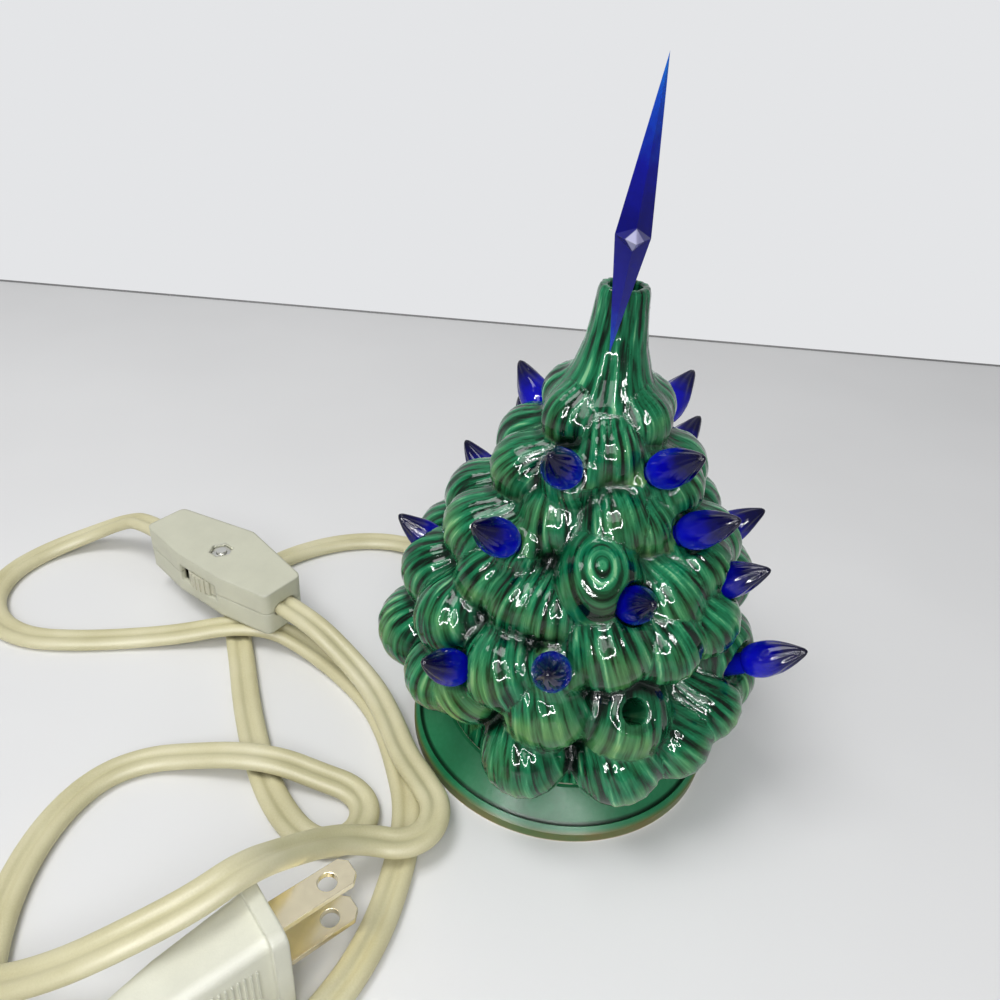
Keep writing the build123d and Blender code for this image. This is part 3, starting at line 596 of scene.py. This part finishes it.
# Tier, azimuths of root and tip, tip height as a share of the tree's height, size as a share of its radius
lobes = (
    ("front", -92, -86, 0.657, 0.15), ("cap", -136, -146, 0.697, 0.146), ("cap", -50, -38, 0.702, 0.146),
    ("cap", 8, 12, 0.702, 0.155), ("cap", 72, 75, 0.702, 0.155), ("cap", 150, 145, 0.702, 0.155),
    ("high", -148, -160, 0.574, 0.172), ("high", -126, -120, 0.508, 0.178), ("high", -86, -80, 0.53, 0.176),
    ("high", -66, -58, 0.525, 0.163), ("high", -44, -33, 0.574, 0.178), ("high", 4, 4, 0.56, 0.19),
    ("high", 50, 50, 0.56, 0.198), ("high", 98, 98, 0.56, 0.198), ("high", 152, 152, 0.56, 0.198),
    ("mid", -154, -160, 0.428, 0.204), ("mid", -136, -142, 0.375, 0.185), ("mid", -120, -122, 0.366, 0.183),
    ("mid", -106, -106, 0.388, 0.155), ("mid", -90, -89, 0.437, 0.198), ("mid", -62, -54, 0.384, 0.202),
    ("mid", -40, -34, 0.432, 0.189), ("mid", -14, -12, 0.42, 0.204), ("mid", 24, 24, 0.41, 0.215),
    ("mid", 60, 60, 0.41, 0.215), ("mid", 94, 94, 0.41, 0.215), ("mid", 128, 128, 0.41, 0.215),
    ("mid", 166, 166, 0.41, 0.215),
    ("upper", -88, -83, 0.318, 0.215), ("upper", -64, -60, 0.318, 0.193), ("upper", -46, -38, 0.326, 0.2),
    ("low", -170, -174, 0.274, 0.226), ("low", -152, -148, 0.265, 0.204), ("low", -146, -134, 0.141, 0.226),
    ("low", -106, -102, 0.172, 0.228), ("low", -26, -23, 0.212, 0.219), ("low", 8, 8, 0.26, 0.241),
    ("low", 44, 44, 0.26, 0.241), ("low", 84, 84, 0.26, 0.241), ("low", 124, 124, 0.26, 0.241),
    ("low", 158, 160, 0.26, 0.23), ("low", -72, -73, 0.15, 0.232), ("low", -124, -120, 0.235, 0.205),
    ("broad", -173, -174, 0.106, 0.241), ("skirt", -146, -146, 0.132, 0.204),
    ("skirt", -110, -107, 0.048, 0.219),
    ("skirt", -80, -74, 0.048, 0.228), ("skirt", -62, -53, 0.084, 0.2), ("skirt", -44, -37, 0.124, 0.198),
    ("skirt", -20, -19, 0.115, 0.224), ("skirt", 15, 15, 0.097, 0.237), ("skirt", 52, 52, 0.097, 0.237),
    ("skirt", 88, 88, 0.097, 0.237), ("skirt", 124, 124, 0.097, 0.237), ("skirt", 157, 158, 0.097, 0.226),
)
# Number of the lobe at the front whose strokes run in ovals
oval_lobe = 19
lobe_fillet = 2.0
cavity_fillet = 0.6
boss_radius = 6.5
boss_depth = 5.2
boss_fillet = 1.5
peg_tilt = math.radians(40)
peg_pull = 0.3
loose_peg = 16
loose_peg_pull = 5.0
hole_radius = 2.8
hole_depth = 18.0
hole_outside = 24.0
hole_fillet = 0.8
spot_radius = 4.6
# Share of a wall's sideways distance that counts, because the wall slopes
core_slant = 0.88
cavity_slant = 0.9
# Grid of the distance field, and how far a lobe or a hole acts beyond its own size
field_low = np.array((-51.0, -51.0, 7.0))
field_high = np.array((51.0, 51.0, 124.5))
field_step = 0.65
lobe_margin = 7.0
hole_margin = 26.0
# Combed strokes
fan_centre_above = 14.0
neck_from_height = 90.0
neck_gap = 1.2
neck_seed = 77
seed_step = 2.399
oval_flatness = 0.7
oval_rings = 2.2
comb_depth = 0.2
comb_middle = 0.45
crease_width = 1.6
hole_clear_radius = 4.9
hole_clear_width = 1.5
# Azimuth, seat height as a share of the tree height, seat radius as a share of the tree radius
peg_place_shares = (
    (129, 0.671, 0.417),
    (117, 0.543, 0.621),
    (45, 0.687, 0.443),
    (143, 0.468, 0.602),
    (-114, 0.701, 0.433),
    (-56, 0.702, 0.395),
    (44, 0.565, 0.583),
    (178, 0.38, 0.729),
    (-131, 0.56, 0.61),
    (-43, 0.586, 0.535),
    (-1, 0.482, 0.616),
    (-29, 0.459, 0.669),
    (-76, 0.484, 0.621),
    (-132, 0.3, 0.857),
    (-101, 0.391, 0.836),
    (-28, 0.279, 0.85),
    (88, 0.68, 0.43),
    (80, 0.547, 0.62),
    (62, 0.46, 0.667),
    (100, 0.46, 0.667),
    (50, 0.29, 0.85),
    (85, 0.29, 0.85),
    (120, 0.29, 0.85),
)
empty_hole_shares = (-74, 0.307, 0.86)


def peg_seat(place):
    """Where a peg's shoulder sits on the tree, and the way the peg points."""
    azimuth, height_share, radius_share = place
    seat = turned(azimuth, radius_share * tree_radius, seat_height + height_share * tree_height)
    return seat, turned(azimuth, math.cos(peg_tilt), math.sin(peg_tilt))


def unit(vector):
    """The vector at length 1."""
    return vector / np.linalg.norm(vector)


def lobe_frame(lobe):
    """A lobe's root, its directions (to the tip, across, outward), its length and the sizes of its ends."""
    tier, root_azimuth, tip_azimuth, tip_share, size_share = lobe
    outer = tier_reach_shares[tier] * tree_radius
    size = size_share * tree_radius
    tip_height = seat_height + tip_share * tree_height
    bulb = turned(tip_azimuth, outer - size, tip_height + size)
    root = turned(root_azimuth, max(0, outer - root_depth_share * size), tip_height + root_rise_share * size)
    along = unit(bulb - root)
    across = unit(np.cross(turned(tip_azimuth, 1, 0), along))
    outward = np.cross(along, across)
    length = np.linalg.norm(bulb - root)
    return root, np.stack((along, across, outward)), (length, size, root_size_share * size)


def lobe_distance(points, shape):
    """Distance to a lobe, a bulb that tapers to its root, and the points in its own directions."""
    root, directions, (length, size, root_size) = shape
    own = (points - root) @ directions.T
    side = np.hypot(own[:, 1], own[:, 2])
    share = (root_size - size) / length
    lean = math.sqrt(1 - share * share)
    middle = side * lean - root_size + own[:, 0] * share
    step = own[:, 0] * lean - side * share
    at_root = np.hypot(own[:, 0], side) - root_size
    at_bulb = np.hypot(own[:, 0] - length, side) - size
    away = np.where(step < 0, at_root, np.where(step > length * lean, at_bulb, middle))
    return away, own


def soft_least(first, second, reach):
    """The lesser of two distances, with a fillet where they meet."""
    overlap = np.clip(0.5 + 0.5 * (second - first) / reach, 0, 1)
    return second + (first - second) * overlap - reach * overlap * (1 - overlap)


cell_corners = list(np.ndindex(2, 2, 2))


def surface_net(field):
    """Points and faces on the zero level of a field that is below zero inside."""
    inside = field < 0
    shape = np.array(field.shape) - 1
    count = np.zeros(shape, np.int8)

    def part(array, corner):
        return array[tuple(slice(c, c + n) for c, n in zip(corner, shape))]

    for corner in cell_corners:
        count += part(inside, corner)
    active = (count > 0) & (count < 8)
    cells = np.argwhere(active)
    number = np.full(shape, -1, np.int64)
    number[active] = np.arange(len(cells))
    total = np.zeros((len(cells), 3))
    hits = np.zeros(len(cells))
    for corner in cell_corners:
        for axis in range(3):
            if corner[axis]:
                continue
            other = tuple(1 if i == axis else corner[i] for i in range(3))
            low = part(field, corner)[active]
            high = part(field, other)[active]
            crossed = (low < 0) != (high < 0)
            share = np.where(crossed, low / np.where(crossed, low - high, 1), 0)
            spot = np.tile(np.array(corner, float), (len(cells), 1))
            spot[:, axis] = share
            total += spot * crossed[:, None]
            hits += crossed
    points = field_low + (cells + total / hits[:, None]) * field_step
    faces = []
    for axis in range(3):
        u, v = (axis + 1) % 3, (axis + 2) % 3
        low = [slice(None)] * 3
        high = [slice(None)] * 3
        low[axis], high[axis] = slice(0, -1), slice(1, None)
        edge = inside[tuple(low)] != inside[tuple(high)]
        places = np.argwhere(edge)
        places = places[(places[:, u] > 0) & (places[:, v] > 0)]
        places = places[(places[:, u] < shape[u]) & (places[:, v] < shape[v])]
        ring = []
        for du, dv in ((1, 1), (0, 1), (0, 0), (1, 0)):
            spot = places.copy()
            spot[:, u] -= du
            spot[:, v] -= dv
            ring.append(number[tuple(spot.T)])
        ring = np.stack(ring, 1)
        starts_inside = inside[tuple(places.T)]
        ring[~starts_inside] = ring[~starts_inside][:, ::-1]
        faces.append(ring)
    return points, np.concatenate(faces)


def sample(field, points):
    """The field between its grid points."""
    spot = (points - field_low) / field_step
    low = np.clip(np.floor(spot).astype(int), 0, np.array(field.shape) - 2)
    share = spot - low
    value = 0
    for corner in cell_corners:
        weight = np.ones(len(points))
        for axis, bit in enumerate(corner):
            weight = weight * (share[:, axis] if bit else 1 - share[:, axis])
        value = value + weight * field[tuple((low + corner).T)]
    return value


def slope(field, points):
    """The direction in which the field grows."""
    parts = []
    for axis in range(3):
        shift = np.zeros(3)
        shift[axis] = field_step * 0.75
        parts.append(sample(field, points + shift) - sample(field, points - shift))
    grown = np.stack(parts, 1)
    return grown / (np.linalg.norm(grown, axis=1)[:, None] + 1e-9)


def grid_window(axes, low, high):
    """The part of the grid that holds a box, and the grid points there."""
    window = []
    for axis, bottom, top in zip(axes, low, high):
        first = int(max(0, (bottom - axis[0]) / field_step))
        last = int(min(len(axis), (top - axis[0]) / field_step + 1))
        window.append(slice(first, last))
    lines = [axis[part] for axis, part in zip(axes, window)]
    return tuple(window), np.stack(np.meshgrid(*lines, indexing="ij"), -1)


def about_peg(points, place):
    """Heights along a peg's axis from its seat, and distances from that axis."""
    seat, axis = peg_seat(place)
    offset = points - seat
    height = offset @ axis
    return height, np.sqrt(np.maximum((offset * offset).sum(-1) - height * height, 0))


def tree_field():
    """The distance field of the tree: core, lobes, cavity, and a boss and a hole for each peg."""
    size = np.ceil((field_high - field_low) / field_step).astype(int) + 1
    axes = [field_low[i] + np.arange(size[i]) * field_step for i in range(3)]
    x, y, z = np.meshgrid(*axes, indexing="ij", sparse=True)
    reach = np.sqrt(x * x + y * y)
    share = (z - seat_height) / tree_height
    core = (reach - tree_radius * np.interp(share, core_height_shares, core_radius_shares)) * core_slant
    field = np.broadcast_to(core, size).copy()
    for lobe in lobes:
        shape = lobe_frame(lobe)
        root, directions, (length, bulb_size, _) = shape
        bulb = root + directions[0] * length
        far = bulb_size + lobe_margin
        window, grid = grid_window(axes, np.minimum(root, bulb) - far, np.maximum(root, bulb) + far)
        away = lobe_distance(grid.reshape(-1, 3), shape)[0].reshape(grid.shape[:3])
        field[window] = soft_least(field[window], away, lobe_fillet)
    hollow = (reach - tree_radius * np.interp(share, cavity_height_shares, cavity_radius_shares)) * cavity_slant
    field = -soft_least(-field, np.broadcast_to(hollow, size), cavity_fillet)
    for place in peg_place_shares + (empty_hole_shares,):
        seat = peg_seat(place)[0]
        window, grid = grid_window(axes, seat - hole_margin, seat + hole_margin)
        height, wide = about_peg(grid, place)
        boss = np.hypot(wide, height + boss_depth) - boss_radius
        field[window] = soft_least(field[window], boss, boss_fillet)
        bore = np.maximum(wide - hole_radius, np.maximum(-hole_depth - height, height - hole_outside))
        spot = np.maximum(wide - spot_radius, np.maximum(-height, height - hole_outside))
        field[window] = -soft_least(-field[window], np.minimum(bore, spot), hole_fillet)
    field = np.maximum(field, seat_height - z)
    return np.maximum(field, z - tree_top)


def relaxed(points, faces, field):
    """The points evened out and brought back to the surface, twice."""
    edges = np.concatenate([faces[:, [i, (i + 1) % 4]] for i in range(4)])
    ends = np.concatenate((edges[:, 0], edges[:, 1]))
    others = np.concatenate((edges[:, 1], edges[:, 0]))
    degree = np.bincount(ends, minlength=len(points))[:, None]
    for _ in range(2):
        mean = np.stack([np.bincount(ends, points[others, i], len(points)) for i in range(3)], 1) / degree
        points = points + 0.5 * (mean - points)
        off_surface = np.clip(sample(field, points), -0.3, 0.3)
        points = points - slope(field, points) * off_surface[:, None]
    return points


def nearest_lobe(points):
    """Distances to the two nearest lobes, the number of the nearest, and the points in its own directions."""
    best = np.full(len(points), 1e3)
    second = np.full(len(points), 1e3)
    owner = np.full(len(points), -1)
    own = np.zeros((len(points), 3))
    for index, lobe in enumerate(lobes):
        away, local = lobe_distance(points, lobe_frame(lobe))
        nearer = away < best
        second = np.where(nearer, best, np.minimum(second, away))
        best = np.where(nearer, away, best)
        owner = np.where(nearer, index, owner)
        own = np.where(nearer[:, None], local, own)
    return best, second, owner, own


def wave(phase):
    """A wave between 0 and 1."""
    return 0.5 + 0.5 * np.sin(phase)


def strokes(points):
    """Combed ridges, lobe tips, distance from creases, and places along and across the strokes."""
    best, second, owner, own = nearest_lobe(points)
    sizes = np.array([lobe_frame(lobe)[2] for lobe in lobes])[owner]
    past_bulb = own[:, 0] - sizes[:, 0]
    azimuth = np.degrees(np.arctan2(points[:, 1], points[:, 0]))
    # Lines run down each lobe from a point above its root; the neck has upright ones, one lobe has ovals
    above = own[:, 0] + fan_centre_above
    fan = np.degrees(np.arctan2(own[:, 1], above))
    travel = np.hypot(own[:, 1], above)
    on_neck = (best > neck_gap) & (points[:, 2] > neck_from_height)
    fan = np.where(on_neck, azimuth / 4, fan)
    travel = np.where(on_neck, tree_top - points[:, 2], travel)
    ring = np.hypot(past_bulb * oval_flatness, own[:, 1])
    fan = np.where(owner == oval_lobe, ring * oval_rings, fan)
    seed = np.where(on_neck, neck_seed, owner) * seed_step
    wander = np.sin(travel * 0.33 + seed) + 0.6 * np.sin(travel * 0.71 + seed * 1.7)
    ridge = wave(fan * 1.15 + wander * 0.8 + seed) ** 1.5
    fine = wave(fan * 2.63 - wander * 1.3 + seed * 2.3)
    fade = wave(fan * 0.43 + travel * 0.23 + seed * 1.9)
    comb = ridge * (0.5 + 0.5 * fade) + 0.25 * fine
    tip = np.clip(past_bulb / sizes[:, 1], 0, 1) * ~on_neck
    crease = np.where(on_neck, 1, np.clip((second - best) / crease_width, 0, 1))
    return comb, tip, crease, np.stack((fan * 0.52, travel * 0.1, seed), 1)


def bare_clay(points):
    """Where the tree has no glaze: in its cavity and under its foot."""
    share = (points[:, 2] - seat_height) / tree_height
    hollow = tree_radius * np.interp(share, cavity_height_shares, cavity_radius_shares)
    reach = np.linalg.norm(points[:, :2], axis=1)
    return ((reach < hollow + 0.9) & (share < 0.9)) | (share < 0.004)


def clear_of_holes(points):
    """0 at the pegs' holes and 1 away from them."""
    clear_share = np.ones(len(points))
    for place in peg_place_shares + (empty_hole_shares,):
        height, wide = about_peg(points, place)
        beyond = np.clip((wide - hole_clear_radius) / hole_clear_width, 0, 1)
        clear_share = np.where(abs(height - 1) < 7, np.minimum(clear_share, beyond), clear_share)
    return clear_share


def glaze_pool_and_shade(points, normals, field):
    """How dark the creases are painted, from how little open space lies before the surface: pooled glaze and
    painted shade.
    """
    shade = 0
    for distance, weight in ((1.2, 0.35), (2.6, 0.4), (4.5, 0.25)):
        open_share = sample(field, points + normals * distance) / distance
        shade = shade + weight * np.clip(1 - open_share, 0, 1)
    return np.clip((shade - 0.14) / 0.4, 0, 1)


def build_tree():
    """The glazed tree: its surface, combed, with what the glaze needs to know at each point."""
    field = tree_field()
    points, faces = surface_net(field)
    points = relaxed(points, faces, field)
    normals = slope(field, points)
    comb, tip, crease, fan = strokes(points)
    inner = bare_clay(points)
    depth = comb_depth * (0.25 + 0.75 * crease) * clear_of_holes(points) * ~inner
    combed = points + normals * ((comb - comb_middle) * depth)[:, None]
    # Painted shade and pooled glaze, from how little open space lies before each point
    pool_and_shade = glaze_pool_and_shade(points, normals, field)
    tree = piece_from("glazed_tree", combed, faces, "green_glaze")
    stored = tree.data.attributes
    for name, values in (("comb", comb), ("tip", tip), ("pool_and_shade", pool_and_shade), ("inner", inner)):
        stored.new(name, "FLOAT", "POINT").data.foreach_set("value", values.astype(np.float32))
    stored.new("fan", "FLOAT_VECTOR", "POINT").data.foreach_set("vector", fan.astype(np.float32).ravel())
    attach(tree, "tree")
    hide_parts("tree_shell")


build_tree()


# Light pegs: smooth bulbs whose tips are drawn into twisted flutes, on plain stems
peg_profile_shares = (0.0, 0.04, 0.12, 0.22, 0.32, 0.42, 0.52, 0.62, 0.72, 0.8, 0.88, 0.94, 0.98, 1.0)
peg_profile_radii = (3.0, 3.4, 3.85, 4.1, 4.1, 3.98, 3.68, 3.2, 2.62, 2.1, 1.52, 1.05, 0.65, 0.25)
peg_bulb_length = 14.5
peg_bulb_rings = 34
peg_stem_radius = 2.5
peg_stem_length = 9.0
peg_flutes = 7
peg_flute_depth = 0.13
peg_flute_twist = 0.9
peg_round = 56
peg_spin_step = 37


def peg_mesh():
    """One peg along Z with its shoulder at the origin."""
    # Height, radius and depth of the flutes of each ring
    rings = [
        (-peg_stem_length, peg_stem_radius - 0.5, 0),
        (-peg_stem_length + 0.4, peg_stem_radius, 0),
        (-0.3, peg_stem_radius, 0),
        (0.0, peg_stem_radius + 0.15, 0),
    ]
    for step in range(peg_bulb_rings + 1):
        share = step / peg_bulb_rings
        radius = np.interp(share, peg_profile_shares, peg_profile_radii)
        rings.append((share * peg_bulb_length, radius, peg_flute_depth * np.clip((share - 0.3) / 0.4, 0, 1)))
    points = []
    for height, radius, flute in rings:
        for step in range(peg_round):
            angle = 2 * math.pi * step / peg_round
            twist = peg_flute_twist * height / peg_bulb_length
            grooved = radius * (1 - flute * abs(math.sin((angle + twist) * peg_flutes / 2)) ** 3)
            points.append((grooved * math.cos(angle), grooved * math.sin(angle), height))
    faces = []
    for ring in range(len(rings) - 1):
        for step in range(peg_round):
            after = (step + 1) % peg_round
            low, high = ring * peg_round, (ring + 1) * peg_round
            faces.append((low + step, low + after, high + after, high + step))
    faces.append(tuple(reversed(range(peg_round))))
    faces.append(tuple(range((len(rings) - 1) * peg_round, len(rings) * peg_round)))
    return points, faces


peg_points, peg_faces = peg_mesh()
peg_pattern = piece_from("light_peg_pattern", peg_points, peg_faces, "peg_blue")
for number, place in enumerate(peg_place_shares, start=1):
    seat, axis = peg_seat(place)
    shoulder = seat + axis * (peg_pull + (loose_peg_pull if number == loose_peg else 0))
    peg = bpy.data.objects.new("peg_%02d" % number, peg_pattern.data)
    bpy.context.collection.objects.link(peg)
    turn = Vector(axis).to_track_quat("Z", "Y").to_matrix().to_4x4()
    spin = Matrix.Rotation(math.radians(peg_spin_step * number), 4, "Z")
    peg.matrix_world = Matrix.Translation(Vector(shoulder * MM)) @ turn @ spin
    node = "light_peg_%02d" % number
    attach(peg, node + "_body")
    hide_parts(node)
bpy.data.objects.remove(peg_pattern)

# Everything else keeps its CAD shape and takes a material
dress("base", "base_glaze")
dress("star_topper", "star_blue")
for node, look in (
    ("lamp_glass", "lamp_glass"),
    ("lamp_stem", "lamp_glass"),
    ("lamp_screw_shell", "nickelled_brass"),
    ("lamp_insulator", "black_insulator"),
    ("lamp_tip_contact", "zinc_steel"),
    ("lamp_filament", "filament_wire"),
    ("socket_body", "socket_plastic"),
    ("socket_screw_shell", "brass"),
    ("socket_centre_contact", "brass"),
    ("socket_spring_clips", "zinc_steel"),
    ("cord_tie", "tie_plastic"),
    ("switch_bottom_cover", "switch_plastic"),
    ("switch_top_cover", "switch_plastic"),
    ("switch_thumbwheel", "wheel_plastic"),
    ("switch_screw", "zinc_steel"),
    ("switch_nut", "zinc_steel"),
    ("switch_contacts", "brass"),
    ("plug_body", "plug_vinyl"),
    ("plug_blade_lower", "blade_brass"),
    ("plug_blade_upper", "blade_brass"),
):
    dress(node, look)

# Grip ribs on both sides of the plug, whose flanks narrow towards the lead
rib_count = 11
rib_first = 5.6
rib_pitch = 1.15
rib_width = 0.55
rib_half_height = 5.2
rib_rise = 0.45
rib_sink = 0.4
rib_draft = 0.12
plug_half_width = 6.6
plug_taper_from = 3.0
plug_taper = 17.0
box_faces = ((0, 1, 2, 3), (7, 6, 5, 4), (0, 4, 5, 1), (1, 5, 6, 2), (2, 6, 7, 3), (3, 7, 4, 0))
rib_points, rib_faces = [], []
for side in (-1, 1):
    for rib in range(rib_count):
        back = rib_first + rib * rib_pitch
        flank = plug_half_width - (back - plug_taper_from) / plug_taper
        corner = len(rib_points)
        for depth, draft in ((-rib_sink, 0), (rib_rise, rib_draft)):
            for along, height in ((0, -1), (1, -1), (1, 1), (0, 1)):
                spot = plug_face - turned(plug_azimuth, back + along * rib_width + draft * (1 - 2 * along), 0)
                spot = spot + turned(plug_azimuth - 90, side * (flank + depth), 0)
                rib_points.append(spot + (0, 0, height * (rib_half_height - draft)))
        for face in box_faces:
            rib_faces.append([corner + i for i in (face if side > 0 else face[::-1])])
plug_ribs = piece_from("plug_grip_ribs", rib_points, rib_faces, "plug_vinyl", False)
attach(plug_ribs, "stand")


# Plain pale floor with a dark strip at its far edge as a painted shade line, a pale surround and soft studio
# light
def backdrop(name, corners, shades):
    """A flat piece of the stage whose grey drifts between two shades."""
    look = Look(name, Roughness=0.6, Specular_IOR_Level=0.3)
    drift = look.noise(look.place(), 0.01, 2.0)
    look.colour(look.ramp(drift, ((0.3, [shades[0]] * 3), (0.7, [shades[1]] * 3))))
    looks[name] = look.material
    piece_from(name, corners, [(0, 1, 2, 3)], name, False)


far = 4000.0
floor_edge = 311.0
edge_height = 1.2
backdrop("floor", [
    (-far, -far, 0), (far, -far, 0), (far, floor_edge, 0), (-far, floor_edge, 0),
], (0.74, 0.77))
# A dark grey strip along the floor's far edge: a painted shade line
backdrop("floor_edge", [
    (-far, floor_edge, 0), (far, floor_edge, 0),
    (far, floor_edge, edge_height), (-far, floor_edge, edge_height),
], (0.2, 0.24))

# The surround lights the object evenly; rays that show it find it grey in front and pale behind
diffuse_level = 0.42
front_level = 0.38
back_level = 0.8
world = bpy.data.worlds.new("studio")
world.use_nodes = True
surround = world.node_tree.nodes
direction = surround.new("ShaderNodeTexCoord")
parts = surround.new("ShaderNodeSeparateXYZ")
glow = surround.new("ShaderNodeMapRange")
for socket, number in zip(list(glow.inputs)[1:5], (0.1, 0.6, front_level, back_level)):
    socket.default_value = number
rays = surround.new("ShaderNodeLightPath")
seen = [surround.new("ShaderNodeMath"), surround.new("ShaderNodeMath")]
level = surround.new("ShaderNodeMapRange")
level.inputs["To Min"].default_value = diffuse_level
for start, end in (
    (direction.outputs["Generated"], parts.inputs[0]),
    (parts.outputs[1], glow.inputs[0]),
    (rays.outputs["Is Camera Ray"], seen[0].inputs[0]),
    (rays.outputs["Is Glossy Ray"], seen[0].inputs[1]),
    (seen[0].outputs[0], seen[1].inputs[0]),
    (rays.outputs["Is Transmission Ray"], seen[1].inputs[1]),
    (seen[1].outputs[0], level.inputs["Value"]),
    (glow.outputs[0], level.inputs["To Max"]),
    (level.outputs[0], surround["Background"].inputs["Strength"]),
):
    world.node_tree.links.new(start, end)
surround["Background"].inputs["Color"].default_value = (0.97, 0.98, 1.0, 1)
bpy.context.scene.world = world
for name, place, size, power in (
    ("key_light", (-300, -100, 750), 320, 2.9),
    ("fill_light", (-40, -420, 420), 240, 1.0),
):
    light = bpy.data.objects.new(name, bpy.data.lights.new(name, "AREA"))
    light.data.size = size * MM
    light.data.energy = power
    light.data.specular_factor = 0.0
    light.location = [value * MM for value in place]
    aim = Vector((0, 0, 60)) - Vector(place)
    light.rotation_euler = aim.to_track_quat("-Z", "Y").to_euler()
    bpy.context.collection.objects.link(light)


def ring_lamp(centre, aim, radius, thickness, strength):
    """A ring-shaped studio lamp, which gives the small oval highlights on the glaze."""
    look = Look("ring_lamp", Base_Color=(0, 0, 0, 1), Emission_Color=(1, 1, 1, 1), Emission_Strength=strength)
    looks["ring_lamp"] = look.material
    facing = Vector(unit(np.array(aim) - np.array(centre))).to_track_quat("Z", "Y").to_matrix()
    points, faces = [], []
    around, section = 64, 8
    for i in range(around):
        for j in range(section):
            turn, tilt = 2 * math.pi * i / around, 2 * math.pi * j / section
            reach = radius + thickness * math.cos(tilt)
            spot = Vector((reach * math.cos(turn), reach * math.sin(turn), thickness * math.sin(tilt)))
            points.append(Vector(centre) + facing @ spot)
            after, beside = (i + 1) % around * section, (j + 1) % section
            faces.append((i * section + j, after + j, after + beside, i * section + beside))
    ring = piece_from("ring_lamp", points, faces, "ring_lamp")
    ring.visible_camera = False
    ring.visible_diffuse = False
    ring.visible_shadow = False


ring_lamp((-46.0, -343.0, 278.0), (0.0, 0.0, 75.0), 175.0, 5.0, 150.0)
bpy.context.scene.view_settings.view_transform = "Standard"
